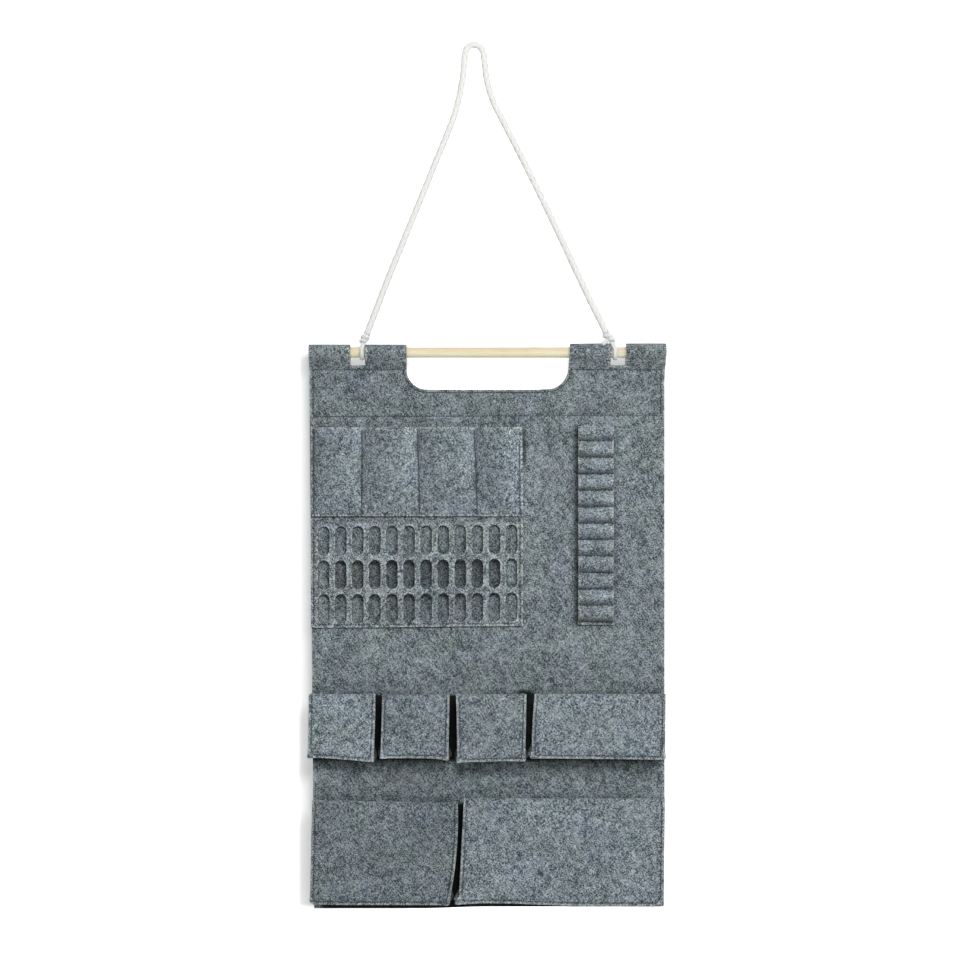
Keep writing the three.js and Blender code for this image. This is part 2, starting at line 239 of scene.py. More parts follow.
def cotton_of(name, pale, deep, front):
    """Cotton from a pale yarn to a deeper one in painted shade between the strands, with random dirt. Its front is
    painted darker than its sides, to this share of them.
    """
    material, tree, surface = finish_of(name, 0.9, sheen=0.8, depth=0.008)
    place = place_of(tree)
    yarn, patch = noise(tree, place, 1500, 3), noise(tree, place, 90, 2)
    dirt = calc(tree, "MULTIPLY_ADD", patch, 0.4, -0.12)
    # Painted shade between the strands where the dip mark is high, and random dirt
    strand_shade_and_dirt = calc(tree, "MULTIPLY_ADD", mark_of(tree, "dip"), 0.24, dirt, clamp=True)
    # Painted shade on the front, lighter towards the sides
    painted_front_shade = ramp(tree, facing_of(tree, "Y"), -0.9, -0.3, front, 1.0)
    dress(tree, surface, scaled(tree, blend(tree, strand_shade_and_dirt, pale, deep), painted_front_shade), yarn, 0.5, 0.0005)
    return material


cotton = cotton_of("plaited_cotton", (0.99, 0.98, 0.94, 1), (0.82, 0.81, 0.76, 1), 0.91)
# The knots get a warmer copy of the rope's cotton without the painted shade on its front: painted light against the
# shade of their tight turns
knot_cotton_painted_light = cotton_of("knotted_cotton_painted_light", (1.0, 0.965, 0.88, 1), (0.88, 0.83, 0.72, 1), 1.0)

ROPE_REACH, PLAIT_PITCH, PLAIT_STRANDS, PLAIT_RELIEF = 0.00395, 0.0105, 4, 0.00024
rope_line = smooth_line([(x + DOWEL_X, 0, z + DOWEL_Z) for x, z in ROPE_ROUTE], 0.0009)
points, faces, depths = tube([rope_line], 24, plaited(ROPE_REACH, ROPE_REACH, PLAIT_PITCH, PLAIT_STRANDS, PLAIT_RELIEF))
hanging_rope = show("cotton_rope", points, faces, {"dip": depths})

# Each knot: two turns drawn tight round the rope, its loop pressed flat under the dowel, and on the right a cut end.
# Places are in millimetres from the middle of the dowel: (across, depth, height). In turn: the top and the foot of the
# turns, where the loop is across, the angle at which the turns start, and the way of the cut end.
KNOTS = {
    "left": ((-142.6, 0.0, 21.0), (-145.6, 0.0, 12.2), -147.2, 0.4, []),
    "right": ((141.4, 0.0, 21.0), (146.2, 0.0, 12.2), 150.9, 2.6, [
        (143.0, -2.6, 15.0), (140.2, -4.6, 13.4), (137.8, -5.2, 11.0), (136.2, -4.6, 8.4)]),
}
KNOT_TURNS, KNOT_STEPS, KNOT_REACH, KNOT_SLANT, LOOP_REACH = 1.9, 32, 3.1, 1.3, 7.9
KNOT_STRAND, LOOP_STRAND = (0.0027, 0.0027), (0.0026, 0.0014)
STRAND_PITCH, STRAND_PARTS, STRAND_RELIEF, STRAND_END = 0.0066, 3, 0.00016, 0.0015


def from_dowel(places):
    return [(DOWEL_X + x * MM, y * MM, DOWEL_Z + z * MM) for x, y, z in places]


for side, (top, foot, loop_x, first_turn, tail) in KNOTS.items():
    turns = []
    for k in range(KNOT_STEPS + 1):
        turn = first_turn + 2 * pi * KNOT_TURNS * k / KNOT_STEPS
        x, y, z = Vector(top).lerp(Vector(foot), k / KNOT_STEPS)
        turns.append((x + KNOT_REACH * cos(turn), y + KNOT_REACH * sin(turn), z + KNOT_SLANT * cos(turn + 0.8)))
    bend = [(loop_x, -LOOP_REACH * cos(turn), LOOP_REACH * sin(turn)) for turn in [
        radians(25 - 23 * k) for k in range(11)]]
    neck = 0.6 * foot[0] + 0.4 * loop_x
    loop = [(foot[0], -1.2, foot[2] + 2), (neck, -4.6, 9.6), *bend, (neck, 4.6, 9.6), (foot[0], 1.2, foot[2] + 2)]
    points, faces, depths = [], [], []
    for places, strand in ((turns, KNOT_STRAND), (loop, LOOP_STRAND), (tail, KNOT_STRAND)):
        if places:
            line = smooth_line(from_dowel(places), 0.0007)
            reach = plaited(*strand, STRAND_PITCH, STRAND_PARTS, STRAND_RELIEF, round_ends=STRAND_END)
            more_points, more_faces, more_depths = tube([line], 18, reach)
            faces += [[len(points) + corner for corner in face] for face in more_faces]
            points, depths = points + more_points, depths + more_depths
    knot = show(f"{side}_rope_knot", points, faces, {"dip": depths})
    knot.data.materials.append(knot_cotton_painted_light)
    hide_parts(f"{side}_knot")
    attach(knot, "rope_hanger")

hanging_rope.data.materials.append(cotton)
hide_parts("hanging_rope")
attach(hanging_rope, "rope_hanger")

# ---------------------------------------------------------------------------------------------------------------
# Dowel: a turned rod of pale birch, 12.6 mm thick, with eased ends and its grain along it. It is pushed into the tunnel
# at the top of the felt, and shows in the handle and in the two windows.
DOWEL_LENGTH, DOWEL_RADIUS, DOWEL_SIDES, UNROUND = 410, 6.3, 48, 0.05
# The eased ends: how far in from the end, and how far under the full radius
DOWEL_EASE = [(0, 1.2), (0.25, 0.55), (0.6, 0.2), (1.2, 0)]
dowel_wood, tree, surface = finish_of("birch_wood", 0.55, depth=0.010)
place = place_of(tree)
growth = noise(tree, stretched(tree, place, (7, 190, 190)), 1, 3, distortion=0.6)
pores = noise(tree, stretched(tree, place, (45, 1500, 1500)), 1, 2)
band = ramp(tree, growth, 0.35, 0.68, 0.0, 0.75)
band = calc(tree, "MULTIPLY_ADD", mark_of(tree, "end_grain"), 0.6, band, clamp=True)
colour = blend(tree, band, (0.92, 0.83, 0.64, 1), (0.81, 0.68, 0.47, 1))
colour = blend(tree, ramp(tree, pores, 0.30, 0.46, 0.35, 0.0), colour, (0.52, 0.38, 0.22, 1))
# Painted shade on the dowel's top and painted light under it, by the way the surface faces
painted_light_by_facing = ramp(tree, facing_of(tree, "Z"), 0.4, -0.8, 0.89, 1.16)
dress(tree, surface, scaled(tree, colour, painted_light_by_facing), pores, 0.25, 0.0003)

half, ease = DOWEL_LENGTH / 2, DOWEL_EASE[-1][0]
outline = [(-half, 0.2)] + [(-half + inward, DOWEL_RADIUS - under) for inward, under in DOWEL_EASE]
outline += [(-half + ease + (DOWEL_LENGTH - 2 * ease) * k / 40, DOWEL_RADIUS) for k in range(1, 40)]
outline += [(-x, radius) for x, radius in reversed(outline[:5])]
points, ends = [], []
for x, radius in outline:
    for k in range(DOWEL_SIDES):
        turn = 2 * pi * k / DOWEL_SIDES
        out = radius - UNROUND * (1 + sin(2 * turn + x * 0.013)) if radius > 1 else radius
        points.append(Vector((DOWEL_X + x * MM, out * cos(turn) * MM, DOWEL_Z + out * sin(turn) * MM)))
        ends.append(1.0 if abs(x) > half - 0.3 else 0.0)
dowel = show("birch_dowel", points, ring_faces(0, len(outline), DOWEL_SIDES), {"end_grain": ends})
dowel.data.materials.append(dowel_wood)
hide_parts("dowel")
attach(dowel, "dowel_rod")

# ---------------------------------------------------------------------------------------------------------------
# Felt panel: one cut of 3 mm needled felt, folded back over the dowel. Its hem lies behind and is sewn down along the
# foot of the header, at both sides and round the handle. The seam under the dowel closes the tunnel.
FELT = 3.0
PANEL_LEFT, PANEL_RIGHT, PANEL_FOOT, PANEL_FRONT = -194.7, 226.5, -1012.0, 3.4
FOLD_RADIUS, TUNNEL_SEAM, HEM_DROP = 9.4, -378.8, 79.0
HANDLE_LEFT, HANDLE_RIGHT, HANDLE_FOOT, HANDLE_CORNER = -79.6, 112.8, -402.2, 22.0
WINDOWS = [(-145.9, -128.5), (161.6, 179.0)]
WINDOW_FOOT = -373.1
AXIS = DOWEL_Z / MM
GROOVE, GROOVE_WIDTH, CREASE_WIDTH = 0.6, 0.95, 0.9

# The felt's look: dark, mid and white fibres needled together. Flecks are a millimetre or two long, hairs finer, and
# clouds are the thicker and thinner places of the fleece. A cut edge is paler, partly its raw fibres and partly a
# painted highlight, and a sewn crease darker, partly the pressed felt and partly painted shade. The shade mark is
# painted shade on what lies deep between pieces, and painted light where it is below zero, but not on the faces towards
# the wall, nor on those towards a pocket's inside.
DEEPEST, EDGE_FIBRES_AND_HIGHLIGHT = -0.78, (0.42, 0.44, 0.42, 1)
TINTS = [(75, (1.03, 1.0, 0.96, 1), (0.97, 1.0, 1.04, 1)), (42, (0.97, 1.05, 0.97, 1), (1.03, 0.95, 1.03, 1)),
         (22, (1.04, 1.05, 0.91, 1), (0.96, 0.95, 1.09, 1))]
fibres = bpy.data.node_groups.new("felt_fibres", "ShaderNodeTree")
for name, kind in (("Colour", "Color"), ("Bolt", "Vector"), ("Fleck", "Float"), ("Cloud", "Float"), ("Edge", "Float"),
                   ("Crease", "Float")):
    fibres.interface.new_socket(name, in_out="INPUT", socket_type=f"NodeSocket{kind}")
for name, kind in (("Colour", "Color"), ("Height", "Float")):
    fibres.interface.new_socket(name, in_out="OUTPUT", socket_type=f"NodeSocket{kind}")
given = add(fibres, "NodeGroupInput").outputs
place = add(fibres, "ShaderNodeVectorMath", {"operation": "ADD"}, {0: place_of(fibres), 1: given["Bolt"]}).outputs[0]


def fibre_noise(scale, detail, roughness=0.55):
    return noise(fibres, place, scale, detail, roughness)


def sum_of(tree, middle, *terms):
    """The sum of (socket, share) terms, each counted from the middle."""
    total = 0.0
    for socket, share in terms:
        total = calc(tree, "MULTIPLY_ADD", calc(tree, "SUBTRACT", socket, middle), share, total)
    return total


hairs = []
for lean, thin in ((38, 760), (-47, 680)):
    turned = add(fibres, "ShaderNodeVectorRotate", {"rotation_type": "Y_AXIS"}, {
        "Vector": place, "Angle": radians(lean)}).outputs[0]
    hairs.append(noise(fibres, stretched(fibres, turned, (thin, thin, 170)), 1, 2, 0.55))
flecks, specks, clots = fibre_noise(820, 2, 0.7), fibre_noise(580, 0), fibre_noise(120, 1)
cells = add(fibres, "ShaderNodeTexVoronoi", None, {"Vector": place, "Scale": 560}).outputs["Color"]
tufts = add(fibres, "ShaderNodeSeparateColor", None, {0: cells}).outputs[0]
fleck = sum_of(fibres, 0.5, (flecks, 6.6), (specks, 2.4), (tufts, 0.4), (hairs[0], 3.0), (hairs[1], 2.2), (clots, 1.2))
cloud = sum_of(fibres, 0.5, (fibre_noise(60, 2), 1.0), (fibre_noise(19, 1), 0.8))
light = calc(fibres, "MULTIPLY_ADD", cloud, given["Cloud"], calc(fibres, "MULTIPLY", fleck, given["Fleck"]))
# Darker along sewn creases: partly the pressed felt, partly painted shade in the groove
light = calc(fibres, "MULTIPLY_ADD", mark_of(fibres, "crease"), given["Crease"], light)
light = calc(fibres, "MAXIMUM", light, DEEPEST)
# A cut edge is paler: partly its raw fibres, partly a painted highlight
raw = calc(fibres, "MULTIPLY", mark_of(fibres, "edge"), given["Edge"])
colour = blend(fibres, raw, given["Colour"], EDGE_FIBRES_AND_HIGHLIGHT)
for scale, warm, cool in TINTS:
    colour = blend(fibres, 1.0, colour, blend(fibres, fibre_noise(scale, 2), warm, cool), "MULTIPLY")
grey = add(fibres, "ShaderNodeRGBToBW", None, {0: colour}).outputs[0]
spread = blend(fibres, 0.3, colour, grey)
colour = add(fibres, "ShaderNodeVectorMath", {"operation": "MULTIPLY_ADD"}, {0: spread, 1: light, 2: colour}).outputs[0]
# Painted shade from the shade mark, or painted light where it is below zero, kept off faces towards the wall and a
# pocket's inside
front = ramp(fibres, facing_of(fibres, "Y"), 0.2, 0.7, 1.0, 0.0)
shade = calc(fibres, "MULTIPLY", mark_of(fibres, "shade"), front)
sideways = calc(fibres, "MULTIPLY", facing_of(fibres, "X"), mark_of(fibres, "outward"))
shade = calc(fibres, "MULTIPLY", shade, ramp(fibres, sideways, -0.5, -0.2, 0.0, 1.0))
colour = scaled(fibres, colour, calc(fibres, "SUBTRACT", 1.0, shade))
height = sum_of(fibres, 0.0, (flecks, 0.5), (hairs[0], 0.3), (hairs[1], 0.3), (clots, 0.4))
add(fibres, "NodeGroupOutput", None, {"Colour": colour, "Height": height})


def felt_of(name, colour, bolt, fleck=0.87, cloud=0.85, edge=0.4, crease=-0.35):
    """Felt from one bolt: its colour, its place on the bolt, and how strongly its fibres, edges and creases show."""
    material, tree, surface = finish_of(name, 0.95, sheen=0.12)
    look = add(tree, "ShaderNodeGroup", {"node_tree": fibres}, {
        "Colour": colour, "Bolt": bolt, "Fleck": fleck, "Cloud": cloud, "Edge": edge, "Crease": crease})
    dress(tree, surface, look.outputs["Colour"], look.outputs["Height"], 0.55, 0.0007)
    return material


panel_felt = felt_of("grey_felt", (0.173, 0.206, 0.219, 1), (0, 0, 0))


def thread_of(name, dark, pale):
    """Spun polyester thread between two greys."""
    material, tree, surface = finish_of(name, 0.7)
    place = place_of(tree)
    colour = blend(tree, noise(tree, place, 2200, 2, 0.55), dark, pale)
    dress(tree, surface, colour, noise(tree, place, 3000, 1, 0.55), 0.5, 0.0002)
    return material


grey_thread = thread_of("grey_thread", (0.03, 0.034, 0.037, 1), (0.11, 0.12, 0.13, 1))
# A darker copy of the same thread: painted shade for the stitches whose grooves show dark
thread_in_painted_shade = thread_of("thread_in_painted_shade", (0.008, 0.009, 0.011, 1), (0.05, 0.055, 0.06, 1))


def lines_at(places, step):
    """The given places, and more between them so that no gap is wider than a step."""
    places = sorted({round(float(place), 4) for place in places})
    lines = []
    for low, high in zip(places, places[1:]):
        parts = ceil((high - low) / step - 0.001)
        lines += [low + (high - low) * k / parts for k in range(parts)]
    return lines + places[-1:]


def by_seam(seam):
    """The lines that a sewn groove needs across it."""
    return [seam + off for off in (-1.7, -0.7, 0, 0.7, 1.7)]


RIM = 0.9


def rims(low, high):
    """Both edges of a cut, each with the line just inside it that keeps its rim crisp."""
    return [low, low + RIM, high - RIM, high]


class Cut:
    """A cut of felt laid out flat, in millimetres across and up it, before it is shaped."""

    def __init__(self):
        self.spots, self.flat, self.faces = {}, [], []

    def spot(self, x, up):
        key = (round(x, 3), round(up, 3))
        if key not in self.spots:
            self.spots[key] = len(self.flat)
            self.flat.append((x, up))
        return self.spots[key]

    def grid(self, across, up, leave=()):
        """Faces on a grid of lines, apart from those in the boxes that are left open: (left, foot, right, top)."""
        for x0, x1 in zip(across, across[1:]):
            for u0, u1 in zip(up, up[1:]):
                x, u = (x0 + x1) / 2, (u0 + u1) / 2
                if not any(left < x < right and foot < u < top for left, foot, right, top in leave):
                    self.faces.append([self.spot(x0, u0), self.spot(x1, u0), self.spot(x1, u1), self.spot(x0, u1)])

    def collar(self, outer, inner, rings, closed=False):
        """Faces between a cut-out's edge and the grid round it. Both run anticlockwise."""
        columns = []
        for (ox, ou), (ix, iu) in zip(outer, inner):
            far = hypot(ox - ix, ou - iu)
            column = [self.spot(ix + (ox - ix) * ring / far, iu + (ou - iu) * ring / far) for ring in rings]
            columns.append(column + [self.spot(ox, ou)])
        for one, other in zip(columns, columns[1:] + columns[:1] if closed else columns[1:]):
            for k in range(len(rings)):
                self.faces.append([one[k], one[k + 1], other[k + 1], other[k]])


def gap_to(flat, strips):
    """How far each flat point is from the nearest of some strips of line, in millimetres."""
    nearest = numpy.full(len(flat), 1e9)
    for strip in strips:
        for (ax, au), (bx, bu) in zip(strip, strip[1:]):
            way = numpy.array([bx - ax, bu - au])
            off = flat - numpy.array([ax, au])
            share = numpy.clip((off @ way) / max(way @ way, 1e-12), 0, 1)
            nearest = numpy.minimum(nearest, numpy.hypot(*(off - share[:, None] * way).T))
    return nearest


# How far every edge of a cut is eased, and how much painted shade the edge of a slot has
EASED_EDGE, SLOT_EDGE = 0.6, 0.7


def make_felt(name, cut, shape, seams, edges, thickness=FELT, even=True, groove=GROOVE, edge_width=2.8,
              shade=lambda x, up: 0.0, dark_edges=()):
    """A piece of felt from its cut: shaped, pressed in along its seams, given its thickness and eased at its edges."""
    flat = numpy.array(cut.flat)
    to_seam, to_edge = gap_to(flat, seams), gap_to(flat, edges)
    points = []
    for (x, up), gap in zip(cut.flat, to_seam):
        across, depth, height = shape(x, up)
        points.append(Vector((across, depth + groove * exp(-(gap / GROOVE_WIDTH) ** 2), height)) * MM)
    # The shade mark: painted shade, or painted light where it is below zero
    shades = numpy.array([shade(x, up) for x, up in cut.flat])
    # Painted shade on the edges of the slots, walls and all
    if dark_edges:
        shades = numpy.maximum(shades, SLOT_EDGE * (gap_to(flat, dark_edges) < 0.3))
    piece = show(name, points, cut.faces, {
        "crease": numpy.exp(-(to_seam / CREASE_WIDTH) ** 2),
        "edge": numpy.clip(1.25 - to_edge / edge_width, 0, 1),
        "shade": shades,
    })
    thick = piece.modifiers.new("thickness", "SOLIDIFY")
    thick.thickness, thick.offset, thick.use_even_offset = thickness * MM, -1, even
    eased = piece.modifiers.new("eased_edges", "BEVEL")
    eased.width, eased.segments, eased.limit_method, eased.angle_limit = EASED_EDGE * MM, 2, "ANGLE", radians(50)
    return piece


STITCH_PITCH, STITCH_LENGTH, STITCH_DIP, THREAD = 3.2, 2.3, 0.75, 0.45


def sew(name, seams, shape, thread=grey_thread, sink=0.25):
    """Machine stitches along seams, given flat in millimetres: each dips into the felt at both ends."""
    points, faces = [], []
    for seam in seams:
        ways = [hypot(b[0] - a[0], b[1] - a[1]) for a, b in zip(seam, seam[1:])]
        whole = sum(ways)

        def at(gone):
            for (ax, au), (bx, bu), way in zip(seam, seam[1:], ways):
                if gone <= way:
                    return ax + (bx - ax) * gone / way, au + (bu - au) * gone / way
                gone -= way
            return seam[-1]

        for k in range(int(whole / STITCH_PITCH)):
            middle = (k + 0.5) * whole / int(whole / STITCH_PITCH)
            line = []
            for station in (-1, -0.72, 0, 0.72, 1):
                x, up = at(min(max(middle + station * STITCH_LENGTH / 2, 0), whole))
                across, depth, height = shape(x, up)
                line.append(Vector((across, depth + sink + STITCH_DIP * abs(station) ** 3, height)) * MM)
            added, more, _ = tube([line], 6, lambda along, turn, length: (THREAD * MM, 0))
            faces += [[len(points) + corner for corner in face] for face in more]
            points += added
    stitches = show(name, points, faces)
    stitches.data.materials.append(thread)
    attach(stitches, "felt_organizer")
    return stitches


# The outer face runs up the front, out from the tunnel seam, round the dowel and down the hem. Up to the tunnel seam
# the flat height is the real one.
reach_out = hypot(PANEL_FRONT, TUNNEL_SEAM - AXIS)
start_turn = 2 * pi + atan2(TUNNEL_SEAM - AXIS, PANEL_FRONT) - acos(FOLD_RADIUS / reach_out)
leave_point = (FOLD_RADIUS * cos(start_turn), AXIS + FOLD_RADIUS * sin(start_turn))
slope_length = hypot(leave_point[0] - PANEL_FRONT, leave_point[1] - TUNNEL_SEAM)
FOLD_START = TUNNEL_SEAM + slope_length
HEM_TOP = FOLD_START + FOLD_RADIUS * start_turn


def rise_to(value, low, high):
    """Smoothly from 0 at low to 1 at high."""
    share = min(max((value - low) / (high - low), 0), 1)
    return share * share * (3 - 2 * share)


# How far the hung panel leaves its flat outline: it narrows towards its foot at the left, is narrower at the right just
# under the dowel and again in its last fifth, its right tab stands higher, and its foot drops at the left.
LEFT_TAPER, RIGHT_TUCK, RIGHT_TAPER, TAB_LIFT, FOOT_DROP = 6.0, 1.7, 4.5, 1.4, 72
# Where each corner of the handle is pulled rounder: which way, from where, how far and how widely
HANDLE_PULLS, PULL_PLACE = [(1, HANDLE_LEFT, 1.3, 16), (-1, HANDLE_RIGHT, 2.4, 22)], 6.4


def panel_shape(x, up):
    if up <= TUNNEL_SEAM:
        depth, height = PANEL_FRONT, up
    elif up <= FOLD_START:
        share = (up - TUNNEL_SEAM) / slope_length
        depth = PANEL_FRONT + (leave_point[0] - PANEL_FRONT) * share
        height = TUNNEL_SEAM + (leave_point[1] - TUNNEL_SEAM) * share
    elif up <= HEM_TOP:
        turn = start_turn - (up - FOLD_START) / FOLD_RADIUS
        depth, height = FOLD_RADIUS * cos(turn), AXIS + FOLD_RADIUS * sin(turn)
    else:
        depth, height = FOLD_RADIUS, AXIS - (up - HEM_TOP)
    share = max(0, (AXIS - height) / (AXIS - PANEL_FOOT))
    side = (x - PANEL_LEFT) / (PANEL_RIGHT - PANEL_LEFT)
    narrower = RIGHT_TUCK * min(1, share / 0.05) + RIGHT_TAPER * max(0, share - 0.8)
    across = x + LEFT_TAPER * share * (1 - side) - narrower * side
    tab_height = AXIS + FOLD_RADIUS - TUNNEL_SEAM
    height += TAB_LIFT * rise_to(side, 0.5, 0.85) * max(0, height - TUNNEL_SEAM) / tab_height
    height -= FOOT_DROP * (1 - rise_to(side, 0.3, 0.5)) * max(0, share - 0.97)
    for sign, corner, pull, spread in HANDLE_PULLS:
        near = exp(-(hypot(across - corner - sign * PULL_PLACE, height - HANDLE_FOOT - PULL_PLACE) / spread) ** 2)
        across, height = across + sign * 0.65 * pull * near, height + 0.76 * pull * near
    return across, depth, height


def behind(height):
    """The flat height of a place on the hem."""
    return HEM_TOP + AXIS - height


corner_height = HANDLE_FOOT + HANDLE_CORNER
CORNER_BLOCK = 34.0
corner_steps = [0, 1.1, 2.4, 4.5, 6.8, 9.1, 11.6, 14.1, 16.8, 19.6, 22.7, 26.1, 29.8, CORNER_BLOCK]
rim_rings = [0, RIM, 2.7, 3.5, 4.3, 6.2, 9]
block_left = HANDLE_LEFT + HANDLE_CORNER - CORNER_BLOCK
block_right = HANDLE_RIGHT - HANDLE_CORNER + CORNER_BLOCK
SIDE_STITCH, HEADER_STITCH, HANDLE_STITCH = 4.4, -434.0, 3.5
left_stitch, right_stitch = PANEL_LEFT + SIDE_STITCH, PANEL_RIGHT - SIDE_STITCH
# Closer lines lie where a shade ends
LEFT_GAP, MIDDLE_GAPS = range(-124, -104, 2), [*range(-36, -8, 2), *range(53, 75, 2)]
LEVEL_LINES = [*range(-1008, -1000, 2), *range(-896, -876, 4), *range(-866, -832, 2), *range(-770, -752, 3),
               -554, -553, -551.4, -550.4, -445]
PANEL_STEP, TAB_STEP = 6, 2.6


def by_window(left, right):
    return [left - RIM, left, right, right + RIM]


left_lines = lines_at([PANEL_LEFT, PANEL_LEFT + RIM, *by_seam(left_stitch), *by_window(*WINDOWS[0]), *LEFT_GAP,
                       block_left], PANEL_STEP)
right_lines = lines_at([block_right, *by_window(*WINDOWS[1]), *by_seam(right_stitch), PANEL_RIGHT - RIM, PANEL_RIGHT],
                       PANEL_STEP)
middle_lines = lines_at([HANDLE_LEFT + HANDLE_CORNER, *MIDDLE_GAPS, HANDLE_RIGHT - HANDLE_CORNER], PANEL_STEP)
under_left = [HANDLE_LEFT + HANDLE_CORNER - step for step in reversed(corner_steps)]
under_right = [HANDLE_RIGHT - HANDLE_CORNER + step for step in corner_steps]
full_lines = left_lines + under_left[1:-1] + middle_lines + under_right[1:-1] + right_lines
window_low = TUNNEL_SEAM + slope_length * (WINDOW_FOOT - 1.9 - TUNNEL_SEAM) / (leave_point[1] - TUNNEL_SEAM)
window_high = behind(WINDOW_FOOT)
window_boxes = [(left, window_low, right, window_high) for left, right in WINDOWS]

panel = Cut()
block_foot = corner_height - CORNER_BLOCK
panel.grid(full_lines, lines_at([
    PANEL_FOOT, PANEL_FOOT + RIM, *LEVEL_LINES, *by_seam(HEADER_STITCH), block_foot], PANEL_STEP))
panel.grid(full_lines, lines_at([
    behind(block_foot), *by_seam(behind(HEADER_STITCH)), behind(AXIS - HEM_DROP) - RIM, behind(AXIS - HEM_DROP)],
    PANEL_STEP))
for sign, level in ((-1, corner_height), (1, behind(corner_height))):
    steps = sorted(level + sign * step for step in corner_steps)
    panel.grid(left_lines, steps)
    panel.grid(right_lines, steps)
    rings = rim_rings + [CORNER_BLOCK - HANDLE_CORNER]
    panel.grid(middle_lines, sorted(level + sign * (HANDLE_CORNER + ring) for ring in rings))
    for side, centre in ((-1, HANDLE_LEFT + HANDLE_CORNER), (1, HANDLE_RIGHT - HANDLE_CORNER)):
        outer = [(centre + side * CORNER_BLOCK, level + sign * step) for step in corner_steps]
        outer += [(centre + side * step, level + sign * CORNER_BLOCK) for step in reversed(corner_steps[:-1])]
        if side * sign < 0:
            outer.reverse()
        inner = []
        for x, up in outer:
            far = hypot(x - centre, up - level)
            inner.append((centre + (x - centre) * HANDLE_CORNER / far, level + (up - level) * HANDLE_CORNER / far))
        panel.collar(outer, inner, rim_rings)
tab_rows = lines_at([
    corner_height, *by_seam(TUNNEL_SEAM)[2:], window_low - RIM, window_low, FOLD_START, HEM_TOP, window_high,
    window_high + RIM, behind(corner_height)], TAB_STEP)
for lines, rim, sign in ((left_lines, HANDLE_LEFT, -1), (right_lines, HANDLE_RIGHT, 1)):
    panel.grid(sorted({*lines, *(rim + sign * ring for ring in rim_rings)}), tab_rows, window_boxes)

arc = [(-cos(turn), -sin(turn)) for turn in [radians(90) * k / 12 for k in range(13)]]


def handle_line(inset, level, sign, start):
    """The handle's outline, or a stitch line inset into the felt, from one tab round to the other."""
    radius = HANDLE_CORNER + inset
    left, right = HANDLE_LEFT + HANDLE_CORNER, HANDLE_RIGHT - HANDLE_CORNER
    line = [(left - radius, start)] + [(left + radius * x, level - sign * radius * z) for x, z in arc]
    line += [(right - radius * x, level - sign * radius * z) for x, z in reversed(arc)]
    return line + [(right + radius, start)]


side_seam_foot = HEADER_STITCH + 2.5
front_stitches = [
    [(left_stitch, side_seam_foot), (left_stitch, TUNNEL_SEAM)],
    [(right_stitch, side_seam_foot), (right_stitch, TUNNEL_SEAM)],
    [(left_stitch, HEADER_STITCH), (PANEL_RIGHT - 0.5, HEADER_STITCH + 1.4)],
    [(left_stitch, TUNNEL_SEAM), (HANDLE_LEFT - HANDLE_STITCH, TUNNEL_SEAM)],
    [(HANDLE_RIGHT + HANDLE_STITCH, TUNNEL_SEAM), (right_stitch, TUNNEL_SEAM)],
    handle_line(HANDLE_STITCH, corner_height, -1, TUNNEL_SEAM),
]
back_stitches = [[(x, behind(up)) for x, up in seam] for seam in front_stitches]
panel_edges = [
    [(PANEL_LEFT, PANEL_FOOT), (PANEL_LEFT, behind(AXIS - HEM_DROP)), (PANEL_RIGHT, behind(AXIS - HEM_DROP)),
     (PANEL_RIGHT, PANEL_FOOT), (PANEL_LEFT, PANEL_FOOT)],
    handle_line(0, corner_height, -1, behind(corner_height)),
    handle_line(0, behind(corner_height), 1, corner_height),
] + [[(left, foot), (left, top), (right, top), (right, foot), (left, foot)] for left, foot, right, top in window_boxes]

# Painted shade where the panel lies deep behind or between other pieces, and painted light where the darkness is below
# zero: (left, foot, right, top, softness, darkness)
SHADED = [
    (-186, -598, 52, -562, 5, 0.10), (-170, -638, 38, -602, 6, 0.45), (-176, -678, 44, -642, 6, 0.22),
    (117, -680, 126, -443, 4, 0.62), (163, -676, 168.5, -446, 4, 0.25),
    (-118, -838, -106, -762, 2, 0.98), (-33, -840, -19, -762, 2, 0.98), (57, -840, 73, -759.5, 2, 0.95),
    (-29, -1020, -10, -891, 2, 0.98),
    (-193, -766, 224, -757, 3, 0.20), (-193, -894, 222, -881, 3, 0.20),
    (-181, -1020, 205, -1002, 3, 0.93), (-192, -553.4, 58, -551.2, 1, 0.85), (57, -490, 61, -450, 2, 0.70),
    (-190, -432, 222, -382, 4, 0.08), (51, -768, 68, -756.5, 3, 0.85),
    (60, -884, 224, -863, 8, -0.20), (-112, -872, -35, -850, 8, 0.18),
]
# Painted shadow under the row of small pockets: its foot, how dark the shadow is there and how soon it fades, and the
# band of painted light below it
ROW_FOOT, ROW_DARK, ROW_FADE = -838.5, 0.93, 3.0
ROW_PALE, PALE_DROP, PALE_SPREAD = 0.33, 7, 4


# Painted shade and painted light on the panel's front, from SHADED and under the row of small pockets
def panel_shade(x, up):
    across, depth, height = panel_shape(x, up)
    kept = 1.0
    if up < FOLD_START:
        for left, foot, right, top, soft, darkness in SHADED:
            inside = min(across - left, right - across, height - foot, top - height) / soft + 0.5
            kept *= 1 - darkness * min(max(inside, 0), 1)
        under = ROW_FOOT - height
        if under > -6 and -194 < across < 224:
            dark, pale = exp(-max(under, 0) / ROW_FADE), exp(-((under - PALE_DROP) / PALE_SPREAD) ** 2)
            kept *= (1 - ROW_DARK * dark) * (1 + ROW_PALE * pale)
    return 1 - kept


